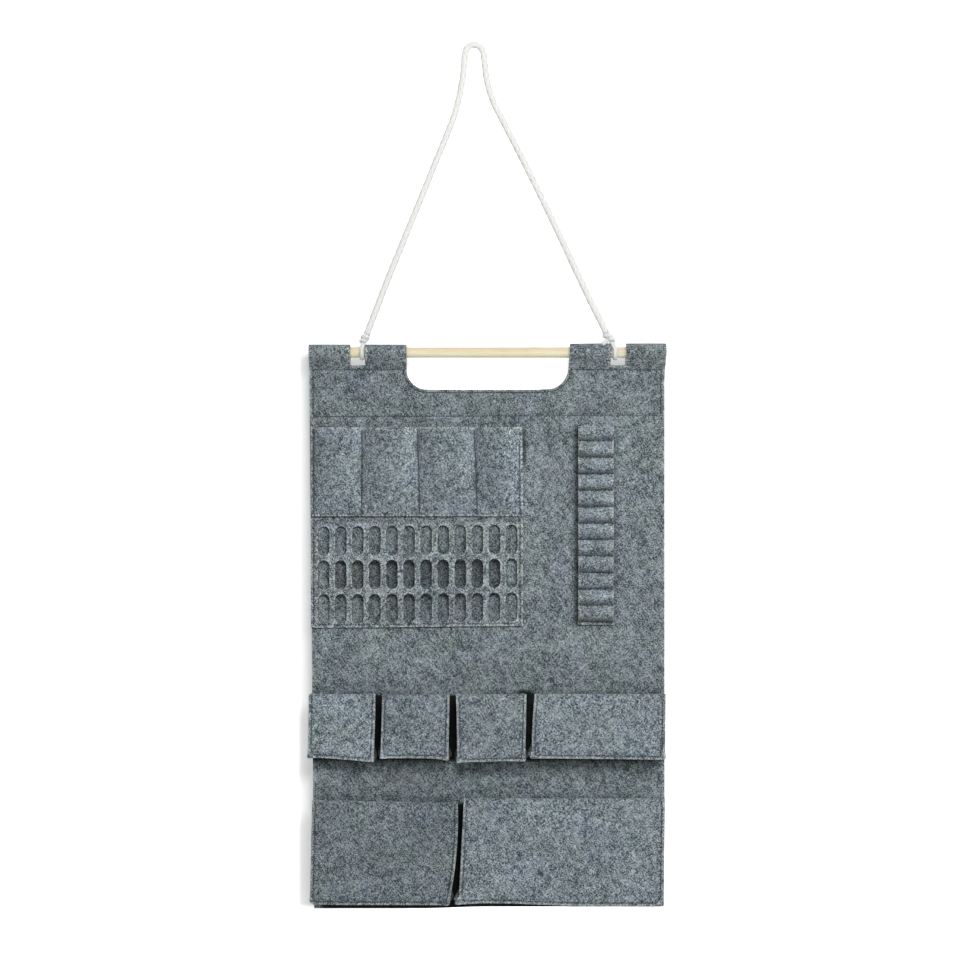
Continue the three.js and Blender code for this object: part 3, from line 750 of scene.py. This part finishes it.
felt_panel = make_felt("felt_wall_panel", panel, panel_shape, front_stitches + back_stitches, panel_edges, even=False,
                       edge_width=2.0, shade=panel_shade)
felt_panel.data.materials.append(panel_felt)
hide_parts("felt_panel")
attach(felt_panel, "felt_organizer")
sew("header_stitches", front_stitches[2:5], panel_shape)
sew("header_side_stitches", front_stitches[:2] + front_stitches[5:], panel_shape, thread_in_painted_shade)

# ---------------------------------------------------------------------------------------------------------------
# Pouch strip: one strip of felt, sewn down at five upright seams and along its foot. More felt than the panel behind it
# is gathered between the seams, so each of the four pouches stands open at its mouth.
STRIP_LEFT, STRIP_TOP, SEWN_FRONT = -192.4, -446.9, 0.1
POUCH_WIDTHS, POUCH_HEIGHT, POUCH_BULGE, POUCH_SEAM = [60, 68, 68, 54], 104.7, 12.0, 3.0
# How far each seam leans at the mouth, and how much painted light each pouch's right flank has
POUCH_LEANS, POUCH_LIT = [0.0, 0.4, -2.6, -3.6, -1.0], [0.18, 0.30, 0.26, 0.0]
# The free top corner at the right: its width and height, how far it draws in and how far it stands out
LOOSE_ACROSS, LOOSE_UP, LOOSE_IN, LOOSE_OUT = 9, 17, 1.6, 3.5
# How wide the painted light at the strip's free edge is, and how strong
FREE_EDGE, FREE_LIT = 26, 0.40
pouch_seams = [STRIP_LEFT + sum(POUCH_WIDTHS[:k]) for k in range(5)]
strip_right, strip_foot = pouch_seams[-1], STRIP_TOP - POUCH_HEIGHT
pocket_felt = felt_of("pocket_felt", (0.183, 0.218, 0.239, 1), (0.31, 0.17, 0.05), edge=0.45, crease=-0.55)


def pouch_shape(x, up):
    rise = max(0.0, (up - strip_foot - POUCH_SEAM) / (POUCH_HEIGHT - POUCH_SEAM))
    out = 0.0
    for left, right in zip(pouch_seams, pouch_seams[1:]):
        if left < x < right:
            room = (right - left) - 2 * POUCH_SEAM
            share = min(max((x - left - POUCH_SEAM / 2) / (room + POUCH_SEAM), 0), 1)
            out = POUCH_BULGE * max(sin(pi * share), 0) ** 0.8 * sin(pi / 2 * rise)
    loose = max(0, (x - (strip_right - LOOSE_ACROSS)) / LOOSE_ACROSS) * max(0, (up - (STRIP_TOP - LOOSE_UP)) / LOOSE_UP)
    lean = numpy.interp(x, pouch_seams, POUCH_LEANS) * rise ** 1.3
    return x + lean - LOOSE_IN * loose, SEWN_FRONT - out - LOOSE_OUT * loose, up


def pouch_shade(x, up):
    """Painted light on each pouch's right flank, which faces the lamp, most of all near the mouth and at the strip's
    free edge, with a little painted shade by its left seam.
    """
    if x > strip_right - FREE_EDGE:
        return -FREE_LIT * rise_to(x, strip_right - FREE_EDGE, strip_right - 12) * rise_to(up, -552, -520)
    lit = 0.0
    for left, right, share in zip(pouch_seams, pouch_seams[1:], POUCH_LIT):
        if left < x <= right:
            flank = (x - left) / (right - left)
            lit = share * rise_to(flank, 0.50, 0.86) * (1 - rise_to(flank, 0.93, 1.0))
            lit -= 0.05 * (1 - rise_to(flank, 0.1, 0.5))
    return -lit * (0.25 + 0.75 * rise_to(up, strip_foot + 20, STRIP_TOP - 20))


left_seam, right_seam, foot_seam, top_seam = STRIP_LEFT + 3.4, strip_right - 3.4, strip_foot + 3.2, STRIP_TOP - 2.5
pouch_lines = [*rims(STRIP_LEFT, strip_right), STRIP_LEFT + 1.9, *by_seam(left_seam), *by_seam(right_seam)]
for seam in pouch_seams[1:-1]:
    pouch_lines += [seam - POUCH_SEAM, *by_seam(seam), seam + POUCH_SEAM]
pouches = Cut()
pouches.grid(lines_at(pouch_lines, 3), lines_at([*rims(strip_foot, STRIP_TOP), *by_seam(foot_seam)], 4))
pouch_stitches = [[(seam, foot_seam), (seam, top_seam)] for seam in [*pouch_seams[1:-1], left_seam]]
pouch_stitches += [[(right_seam, foot_seam), (right_seam, top_seam - 16)],
                   [(left_seam, foot_seam), (right_seam, foot_seam)]]
corner_tack = [[(strip_right - across, STRIP_TOP - 0.6), (strip_right - across + 1.6, STRIP_TOP - LOOSE_UP)]
               for across in (2.8, 2.0)]


def outline_of(left, foot, right, top):
    return [[(left, foot), (right, foot), (right, top), (left, top), (left, foot)]]


pouch_strip = make_felt("tall_pouches", pouches, pouch_shape, pouch_stitches[:-1],
                        outline_of(STRIP_LEFT, strip_foot, strip_right, STRIP_TOP), groove=1.0, edge_width=1.4,
                        shade=pouch_shade)
pouch_strip.data.materials.append(pocket_felt)
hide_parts("tall_pouch_strip")
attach(pouch_strip, "felt_organizer")
sew("pouch_stitches", pouch_stitches[:1] + corner_tack, pouch_shape, thread_in_painted_shade)
sew("pouch_edge_stitches", pouch_stitches[1:], pouch_shape)


def shaped_length(shape, start, end, parts=200):
    """The real length of a straight line on the flat cut once it is shaped, in metres."""
    line = [Vector(shape(start[0] + (end[0] - start[0]) * k / parts, start[1] + (end[1] - start[1]) * k / parts))
            for k in range(parts + 1)]
    return length_of(line) * MM


half_height = (STRIP_TOP + strip_foot) / 2
shaped_length(pouch_shape, (STRIP_LEFT, half_height), (strip_right, half_height))

# ---------------------------------------------------------------------------------------------------------------
# Slotted sheet: felt with three rows of twelve die-cut slots, sewn down all round under the pouches. It is a little
# full, so that it stands off the panel in its middle and things can be pushed through.
SLOT_COLUMNS, SLOT_ROWS, SLOT_WIDTH, SLOT_HEIGHT, SLOT_PITCH, ROW_PITCH = 12, 3, 13.2, 34.4, 20.1, 39.9
SHEET_TOP, SHEET_FOOT, SHEET_BOW, SHEET_LEAN, SHEET_SEAM = -552.8, -681.9, 7.2, 1.2, 3.4
first_slot, first_row = STRIP_LEFT + 8.8 + SLOT_WIDTH / 2, SHEET_TOP - 9.7 - SLOT_HEIGHT / 2
slot_end = (SLOT_HEIGHT - SLOT_WIDTH) / 2
cell_x = [0, 2.2, 4.5, 7.2, SLOT_PITCH / 2]
cell_up = [0, slot_end / 2, slot_end, slot_end + 2.3, slot_end + 4.7, slot_end + 7, ROW_PITCH / 2]


def slotted_shape(x, up):
    side = 2 * (x - STRIP_LEFT) / (strip_right - STRIP_LEFT) - 1
    height = 2 * (up - SHEET_FOOT) / (SHEET_TOP - SHEET_FOOT) - 1
    out = SHEET_BOW * (1 - abs(side) ** 5) * max(0, 1 - height ** 2) ** 1.35
    lean = SHEET_LEAN * side * (0.3 + 0.7 * rise_to(SHEET_TOP - up, 0, 9))
    return x, SEWN_FRONT - max(out, 0), up + lean


def slotted_shade(x, up):
    """Painted shade just under the pouches."""
    return 0.24 * rise_to(up, SHEET_TOP - 7, SHEET_TOP - 5) + 0.3 * rise_to(up, SHEET_TOP - 2, SHEET_TOP - 0.5)


slot_x = [first_slot + SLOT_PITCH * k for k in range(SLOT_COLUMNS)]
slot_up = [first_row - ROW_PITCH * k for k in range(SLOT_ROWS)]
sheet_lines = [line for step in (0, RIM, 2.1, 2.9, 3.6) for line in (STRIP_LEFT + step, strip_right - step)]
sheet_lines += [middle + sign * step for middle in slot_x for step in cell_x for sign in (-1, 1)]
sheet_rows = [*rims(SHEET_FOOT, SHEET_TOP), *by_seam(SHEET_TOP - SHEET_SEAM), SHEET_TOP - 6, SHEET_TOP - 7]
sheet_rows += [middle + sign * step for middle in slot_up for step in cell_up for sign in (-1, 1)]
slotted = Cut()
slotted.grid(lines_at(sheet_lines, 6), lines_at(sheet_rows, 6), [
    (x - SLOT_PITCH / 2, up - ROW_PITCH / 2, x + SLOT_PITCH / 2, up + ROW_PITCH / 2) for x in slot_x for up in slot_up])
slot_edges = []
for x in slot_x:
    for up in slot_up:
        across = [x - step for step in reversed(cell_x)] + [x + step for step in cell_x[1:]]
        rows = [up - step for step in reversed(cell_up)] + [up + step for step in cell_up[1:]]
        outer = [(line, rows[0]) for line in across[:-1]] + [(across[-1], row) for row in rows[:-1]]
        outer += [(line, rows[-1]) for line in reversed(across[1:])] + [(across[0], row) for row in reversed(rows[1:])]
        inner = []
        for line, row in outer:
            middle = min(max(row, up - slot_end), up + slot_end)
            far = hypot(line - x, row - middle)
            inner.append((x + (line - x) * SLOT_WIDTH / 2 / far, middle + (row - middle) * SLOT_WIDTH / 2 / far))
        slotted.collar(outer, inner, [0, 0.6, 1.6], closed=True)
        slot_edges.append(inner + inner[:1])
left, right = STRIP_LEFT + SHEET_SEAM, strip_right - SHEET_SEAM
foot, top = SHEET_FOOT + SHEET_SEAM, SHEET_TOP - SHEET_SEAM
sheet_stitches = [[(left, foot), (left, top), (right, top), (right, foot), (left, foot)]]
sheet_groove = [(left, top), (left, foot), (right, foot), (right, top)]
slotted_sheet = make_felt("slotted_felt", slotted, slotted_shape, [sheet_groove],
                          outline_of(STRIP_LEFT, SHEET_FOOT, strip_right, SHEET_TOP) + slot_edges, edge_width=1.6,
                          shade=slotted_shade, dark_edges=slot_edges)
slotted_sheet.data.materials.append(felt_of("slotted_felt", (0.203, 0.239, 0.256, 1), (0.11, 0.57, 0.35), edge=0.42))
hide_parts("slotted_sheet")
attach(slotted_sheet, "felt_organizer")
sew("slotted_stitches", sheet_stitches, slotted_shape, thread_in_painted_shade)

# ---------------------------------------------------------------------------------------------------------------
# Tool loops: one narrow strip sewn across at every pitch. Each of its twelve loops is open at both sides and sags, so
# that it is fullest just over its lower seam.
LOOP_COUNT, LOOP_PITCH, LOOP_DEPTH, LOOP_WALL = 12, 19.4, 10.5, 2.8
LOOP_LEFT, LOOP_RIGHT, LOOP_TOP, LOOP_TAIL = 122.7, 164.7, -443.5, 3.3
LOOP_SEAM, LOOP_SAG, LOOP_SKEW = 0.9, 1.8, 1.1
loop_strip_foot = LOOP_TOP - LOOP_COUNT * LOOP_PITCH - LOOP_TAIL


def loop_shape(x, up):
    down = LOOP_TOP - up
    loop = min(int(down / LOOP_PITCH), LOOP_COUNT - 1)
    within = (down - loop * LOOP_PITCH - LOOP_SEAM) / (LOOP_PITCH - 2 * LOOP_SEAM)
    if not 0 < within < 1:
        return x, SEWN_FRONT, up
    late = within ** (1.25 + 0.2 * sin(loop * 2.3))
    full = max(sin(pi * late), 0) ** 0.8 * (0.92 + 0.08 * sin(loop * 1.7 + 1))
    right = (x - LOOP_LEFT) / (LOOP_RIGHT - LOOP_LEFT)
    uneven = LOOP_SKEW * sin(loop * 1.9 + right * 2.2)
    narrow = (1.5 + 0.9 * sin(loop * 2.9)) * right * within * full
    return x - narrow, SEWN_FRONT - (LOOP_DEPTH - LOOP_WALL) * full, up - LOOP_SAG * full * within + uneven * full


def loop_shade(x, up):
    """Painted light over the upper part of each loop, and painted shade under its belly."""
    down = LOOP_TOP - up
    loop = min(int(down / LOOP_PITCH), LOOP_COUNT - 1)
    within = down / LOOP_PITCH - loop
    right = (x - LOOP_LEFT) / (LOOP_RIGHT - LOOP_LEFT)
    start = 0.29 + 0.08 * sin(loop * 2.1) + 0.08 * right
    return (0.34 + 0.08 * sin(loop * 1.3)) * rise_to(within, start, start + 0.32) - 0.17 if within < 1 else 0.0


loop_rows = [LOOP_TOP, LOOP_TOP - 0.5, loop_strip_foot, loop_strip_foot + RIM]
for loop in range(LOOP_COUNT + 1):
    seam = LOOP_TOP - loop * LOOP_PITCH
    loop_rows += [seam - LOOP_SEAM] + ([seam, seam + LOOP_SEAM] if loop else [])
loops = Cut()
loops.grid(lines_at(rims(LOOP_LEFT, LOOP_RIGHT), 4), lines_at(loop_rows, 1.0))
loop_seams = [LOOP_TOP - loop * LOOP_PITCH for loop in range(1, LOOP_COUNT + 1)] + [LOOP_TOP - 0.6]
loop_stitches = [[(LOOP_LEFT + 1, seam), (LOOP_RIGHT - 1, seam)] for seam in loop_seams]
loop_strip = make_felt("tool_loops", loops, loop_shape, loop_stitches,
                       outline_of(LOOP_LEFT, loop_strip_foot, LOOP_RIGHT, LOOP_TOP), thickness=LOOP_WALL, even=False,
                       groove=0.2, edge_width=1.6, shade=loop_shade)
loop_strip.data.materials.append(felt_of("loop_felt", (0.188, 0.223, 0.240, 1), (0.71, 0.27, 0.65), edge=0.3))
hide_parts("tool_loop_strip")
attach(loop_strip, "felt_organizer")
sew("loop_stitches", loop_stitches, loop_shape, thread_in_painted_shade)
shaped_length(
    loop_shape, (LOOP_LEFT, loop_strip_foot), (LOOP_LEFT, LOOP_TOP), 1200)

# ---------------------------------------------------------------------------------------------------------------
# Box pockets: four small and two large. A gusset 27 mm deep goes down one side, along the foot and up the other, with a
# flange sewn to the panel and one sewn behind the front's rim, whose raw edges show. The stiff fronts curl a little.
POCKET_FRONT, POCKET_DEPTH, FLANGE, GUSSET_CORNER, RIM_STITCH = -23.9, 27.0, 4.5, 5.0, 3.4
# Each front: its top corners (across, height), where its foot corners are across, five heights along its foot, how
# round its foot corners are, how far its sides bow out, how far its left foot corner flares, how pale its felt is
POCKETS = {
    "small_pocket_1": ((-193.2, -759.3), (-115.6, -759.3), (-193.9, -118.2), (-833.8, -833.8, -835.2, -836.9, -838.8),
                       1.5, 2.0, 0.0, 0.5, 0.8, 1.12),
    "small_pocket_2": ((-107.2, -760.0), (-28.8, -760.0), (-109.2, -30.5), (-834.6, -833.9, -834.0, -834.4, -837.1),
                       2.0, 2.0, 0.0, 0.0, 0.8, 0.95),
    "small_pocket_3": ((-21.0, -759.6), (61.2, -759.6), (-19.6, 59.4), (-839.4, -838.4, -837.9, -837.5, -838.0),
                       2.0, 2.0, -0.5, 0.0, 0.8, 0.94),
    "small_pocket_4": ((71.2, -759.2), (223.9, -759.2), (67.8, 223.2), (-834.2, -834.5, -834.9, -835.3, -835.9),
                       2.0, 3.0, 1.0, 0.0, 2.6, 1.05),
    "large_pocket_1": ((-189.1, -883.2), (-19.4, -886.4), (-191.6, -30.0),
                       (-1004.5, -1005.7, -1005.7, -1005.7, -1006.0), 5.0, 2.5, 0.0, 3.8, 0.8, 0.78),
    "large_pocket_2": ((-11.6, -881.2), (223.2, -881.2), (-17.8, 221.1),
                       (-1005.4, -1003.9, -1006.2, -1007.2, -1006.8), 2.5, 10.0, 0.0, 0.0, 6.0, 1.03),
}
# The curl of a front's foot corners and of its rim: how far out, how high up and how wide. The belly is at its mouth
CORNER_CURL, CURL_HEIGHT, CURL_WIDTH, RIM_CURL, RIM_WIDTH, BELLY = 1.4, 14, 10, 0.5, 3, 1.5
TIP_HEIGHT, TIP_WIDTH, RIGHT_TIP = 9, 8, 0.8


def between(a, b, share):
    return a + (b - a) * share


def front_shape_of(top_left, top_right, foot_across, foot_heights, left_round, right_round, left_bow, right_bow,
                   flared):
    """The shape of a pocket's front, with its width and height."""
    width, height = top_right[0] - top_left[0], top_left[1] - foot_heights[0]
    foot_line = numpy.polyfit([0, 0.25, 0.5, 0.75, 1], foot_heights, 4)

    def shape(x, up):
        for corner, radius in ((0.0, left_round), (width, right_round)):
            dx, du = abs(x - corner), up
            if dx < radius and du < radius:
                ix, iu = radius - dx, radius - du
                pull = max(ix, iu) / max(hypot(ix, iu), 1e-9)
                x = corner + (radius - ix * pull) * (1 if corner == 0 else -1)
                up = radius - iu * pull
        u, w = x / width, up / height
        foot = float(numpy.polyval(foot_line, min(max(u, 0), 1)))
        top = between(top_left[1], top_right[1], u)
        bow = 4 * w * (1 - w) if 0 < w < 1 else 0
        left = between(foot_across[0], top_left[0], w) - left_bow * bow
        right = between(foot_across[1], top_right[0], w) + right_bow * bow
        sides = max(0, 1 - x / CURL_WIDTH) + max(0, 1 - (width - x) / CURL_WIDTH)
        curl = CORNER_CURL * sides * max(0, 1 - up / CURL_HEIGHT) ** 1.5
        curl += RIM_CURL * max(0, 1 - min(x, width - x, up) / RIM_WIDTH)
        belly = BELLY * sin(pi * min(max(u, 0), 1)) * w ** 2
        low = max(0, 1 - up / TIP_HEIGHT)
        tips = RIGHT_TIP * low * max(0, 1 - (width - x) / TIP_WIDTH) - flared * low ** 1.2 * max(0, 1 - x / TIP_WIDTH)
        return between(left, right, u) + tips, POCKET_FRONT - curl - belly, between(foot, top, w)

    return shape, width, height


def gusset_line(width, height, inset, radius, parts=8):
    """The gusset's way round its pocket, from the right mouth down, along the foot and up, with its outward sides."""
    drop, run = height - inset - radius, width - 2 * inset - 2 * radius
    count = ceil(run / 8)

    def corner(x, start):
        return [((x + radius * cos(turn), inset + radius + radius * sin(turn)), (cos(turn), sin(turn))) for turn in [
            start - pi / 2 * k / parts for k in range(parts + 1)]]

    line = [((width - inset, height - drop * k / parts), (1, 0)) for k in range(parts)]
    line += corner(width - inset - radius, 0)
    line += [((width - inset - radius - run * k / count, inset), (0, -1)) for k in range(1, count)]
    line += corner(inset + radius, -pi / 2)
    return line + [((inset, inset + radius + drop * k / parts), (-1, 0)) for k in range(1, parts + 1)]


gusset_felt = felt_of("gusset_felt", (0.150, 0.178, 0.189, 1), (0.43, 0.87, 0.15), edge=0.35)
# Across the gusset: out along the back of the front's rim, back along the wall, and out again on the panel
front_level, back_level, bend, ease = POCKET_FRONT + 2 * FELT + 0.3, SEWN_FRONT, 1.2, 0.35
section = [(FLANGE - 0.4, front_level), (2.6, front_level), (bend, front_level), (ease, front_level + ease),
           (0, front_level + bend)]
section += [(0, between(front_level + bend, back_level - bend, k / 6)) for k in range(1, 7)]
section += [(ease, back_level - ease), (bend, back_level), (2.6, back_level)]
# The gusset's wall is slack, puffs out, and folds out at its foot, most of all across a gap, where it has painted shade
SLACK, PUFF, GAP_FOLD, SIDE_FOLD, FOLD_HEIGHT, GAP_DARKNESS, FOLD_LIT = 1.1, 1.8, 11, 2.5, 22, 0.97, 0.9

for number, (name, (*sizes, shade)) in enumerate(POCKETS.items()):
    front_shape, width, height = front_shape_of(*sizes)
    top_left, top_right, flared = sizes[0], sizes[1], sizes[-1] > 2
    front = Cut()
    front.grid(lines_at([*rims(0, width), 1.8, width - 1.8, *by_seam(RIM_STITCH), *by_seam(width - RIM_STITCH)], 5),
               lines_at([*rims(0, height), 1.8, *by_seam(RIM_STITCH)], 5))
    seam = [(RIM_STITCH, height - 1.5), (RIM_STITCH, RIM_STITCH + 3.5), (RIM_STITCH + 1.2, RIM_STITCH + 1.2),
            (RIM_STITCH + 3.5, RIM_STITCH)]
    seam += [(width - x, up) for x, up in reversed(seam)]
    rim = [(0, height), (0, 0), (width, 0), (width, height)]
    colour = (0.194 * shade, 0.230 * shade, 0.254 * shade, 1)
    front_felt = felt_of(f"{name}_felt", colour, (0.2 * number, 0.7, 0.3 * number), crease=-0.4)
    pocket = make_felt(f"{name}_felt_front", front, front_shape, [seam], [rim], edge_width=2.2)
    pocket.data.materials.append(front_felt)
    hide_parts(f"{name}_front")
    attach(pocket, "felt_organizer")
    sew(f"{name}_stitches", [seam[:6]], front_shape)
    sew(f"{name}_side_stitches", [seam[5:]], front_shape, thread_in_painted_shade)

    # The gusset is cut by steps along its way and places across it
    line = gusset_line(width, height - 1.0, FLANGE, GUSSET_CORNER)
    gusset = Cut()
    gusset.grid(range(len(line)), range(len(section)))

    def by_gap(x):
        """Whether another pocket stands across a gap from this side."""
        return x < width / 2 and top_left[0] > -150 or x > width / 2 and top_right[0] < 150

    def gusset_shape(step, place):
        (x, up), (out_x, out_up) = line[int(step)]
        out, depth = section[int(place)]
        full = sin(pi * place / (len(section) - 1))
        slack = SLACK * full * sin(step * 1.3 + number)
        fold = (GAP_FOLD if by_gap(x) else SIDE_FOLD) * max(0, 1 - up / FOLD_HEIGHT) * abs(out_x) ** 0.4
        out += slack * 0.5 + (PUFF * abs(out_x) + fold) * full ** 2
        across, _, level = front_shape(x + out * out_x, up + out * out_up)
        return across, depth, level

    def gusset_shade(step, place):
        """Painted shade towards the panel across a gap. A flared corner shows its gusset, with painted light at its
        foot.
        """
        (x, up), (out_x, _) = line[int(step)]
        dark = GAP_DARKNESS * rise_to(place, 2, 5)
        if flared and x < width / 2:
            return dark * rise_to(up, 8, 16) - FOLD_LIT * (1 - rise_to(up, 5, 12))
        return by_gap(x) * abs(out_x) * dark * rise_to(up, -2, 10) * rise_to(height - 1 - up, -1, 4)

    last_step, last_place = len(line) - 1, len(section) - 1
    box = make_felt(f"{name}_felt_gusset", gusset, gusset_shape, [], [
        [(0, 0), (last_step, 0)], [(0, last_place), (last_step, last_place)]], groove=0, even=False, edge_width=1.0,
        shade=gusset_shade)
    # Which way each side faces out, which keeps the painted shade off its inside
    box.data.attributes.new("outward", "FLOAT", "POINT").data.foreach_set(
        "value", [line[int(step)][1][0] for step, _ in gusset.flat])
    box.data.materials.append(gusset_felt)
    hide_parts(f"{name}_gusset")
    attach(box, "felt_organizer")

# ---------------------------------------------------------------------------------------------------------------
# Studio: a white wall behind the organizer, which only the camera sees and only from the front, a pale floor well
# below it, one large soft lamp to the right and a little above, a weaker one behind, and even light from all round.
WALL_DEPTH, WALL_TOP, FLOOR_HEIGHT, WALL_HALF, FLOOR_HALF = 0.026, 1.3, -1.35, 2, 4
WALL_GLOW, FLOOR_GLOW, EVEN_LIGHT = 0.29, 0.45, 0.26
white, tree, surface = finish_of("white_wall", 1.0)
to_camera = add(tree, "ShaderNodeLightPath").outputs["Is Camera Ray"]
spot = add(tree, "ShaderNodeSeparateXYZ", None, {0: place_of(tree)}).outputs
off = calc(tree, "ABSOLUTE", calc(tree, "SUBTRACT", spot["X"], (HANDLE_LEFT + HANDLE_RIGHT) / 2 * MM))
# The wall's extra glow is painted light that washes out the organizer's shadow: close round the organizer, and in its
# handle, the wall is duller. Each row: where that ends and how much it gains
glow = WALL_GLOW
for here, dull, clean, gain in (
        (spot["X"], -0.205, -0.2125, 0.42), (spot["X"], 0.222, 0.230, 0.42), (spot["Z"], -1.0125, -1.018, 0.45),
        (spot["Z"], -0.356, -0.340, 0.35), (off, 0.099, 0.092, 0.40), (off, 0.185, 0.175, 0.12)):
    glow = calc(tree, "ADD", glow, ramp(tree, here, dull, clean, 0.0, gain))
fill(tree, surface, {
    "Base Color": (0.92, 0.92, 0.92, 1), "Specular IOR Level": 0.0, "Emission Color": (1, 1, 1, 1),
    "Emission Strength": calc(tree, "MULTIPLY", to_camera, glow)})
facing = add(tree, "ShaderNodeNewGeometry").outputs["Backfacing"]
clear = add(tree, "ShaderNodeBsdfTransparent").outputs[0]
wall_look = add(tree, "ShaderNodeMixShader", None, {
    0: calc(tree, "SUBTRACT", to_camera, facing, clamp=True), 1: clear, 2: surface.outputs[0]}).outputs[0]
fill(tree, tree.nodes["Material Output"], {"Surface": wall_look})
wall = show("studio_wall", [
    (-WALL_HALF, WALL_DEPTH, FLOOR_HEIGHT), (WALL_HALF, WALL_DEPTH, FLOOR_HEIGHT), (WALL_HALF, WALL_DEPTH, WALL_TOP),
    (-WALL_HALF, WALL_DEPTH, WALL_TOP)], [(0, 1, 2, 3)])
wall.data.materials.append(white)
pale, tree, surface = finish_of("pale_floor", 0.9)
glow = calc(tree, "MULTIPLY", add(tree, "ShaderNodeLightPath").outputs["Is Camera Ray"], FLOOR_GLOW)
fill(tree, surface, {"Base Color": (0.60, 0.60, 0.585, 1), "Emission Color": (1, 1, 1, 1), "Emission Strength": glow})
floor = show("studio_floor", [(x, y, FLOOR_HEIGHT) for x, y in (
    (-FLOOR_HALF, -FLOOR_HALF), (FLOOR_HALF, -FLOOR_HALF), (FLOOR_HALF, FLOOR_HALF), (-FLOOR_HALF, FLOOR_HALF))],
    [(0, 1, 2, 3)])
floor.data.materials.append(pale)

world = bpy.data.worlds.new("even_light")
bpy.context.scene.world = world
world.use_nodes = True
tree = world.node_tree
rays = add(tree, "ShaderNodeLightPath").outputs
straight = calc(tree, "MAXIMUM", rays["Is Camera Ray"], rays["Is Glossy Ray"])
straight = calc(tree, "MAXIMUM", straight, rays["Is Transmission Ray"])
around = tree.nodes["Background"]
fill(tree, around, {"Color": (0.96, 0.98, 1.0, 1), "Strength": EVEN_LIGHT})
backdrop = add(tree, "ShaderNodeBackground", None, {"Color": (1, 1, 1, 1), "Strength": 1.0}).outputs[0]
both = add(tree, "ShaderNodeMixShader", None, {0: straight, 1: around.outputs[0], 2: backdrop}).outputs[0]
fill(tree, tree.nodes["World Output"], {"Surface": both})


def lamp(name, place, target, size, power):
    """A soft rectangular lamp that looks at its target."""
    light = bpy.data.lights.new(name, "AREA")
    light.shape, light.size, light.size_y, light.energy = "RECTANGLE", size[0], size[1], power
    stand = bpy.data.objects.new(name, light)
    stand.location = place
    stand.rotation_euler = (Vector(target) - Vector(place)).to_track_quat("-Z", "Y").to_euler()
    bpy.context.scene.collection.objects.link(stand)


lamp("large_soft_lamp", (0.78, -2.78, 0.90), (0.05, 0, -0.62), (1.8, 0.9), 78.5)
lamp("back_fill_lamp", (-1.0, 2.6, 0.3), (0, 0, -0.65), (1.6, 1.6), 42)
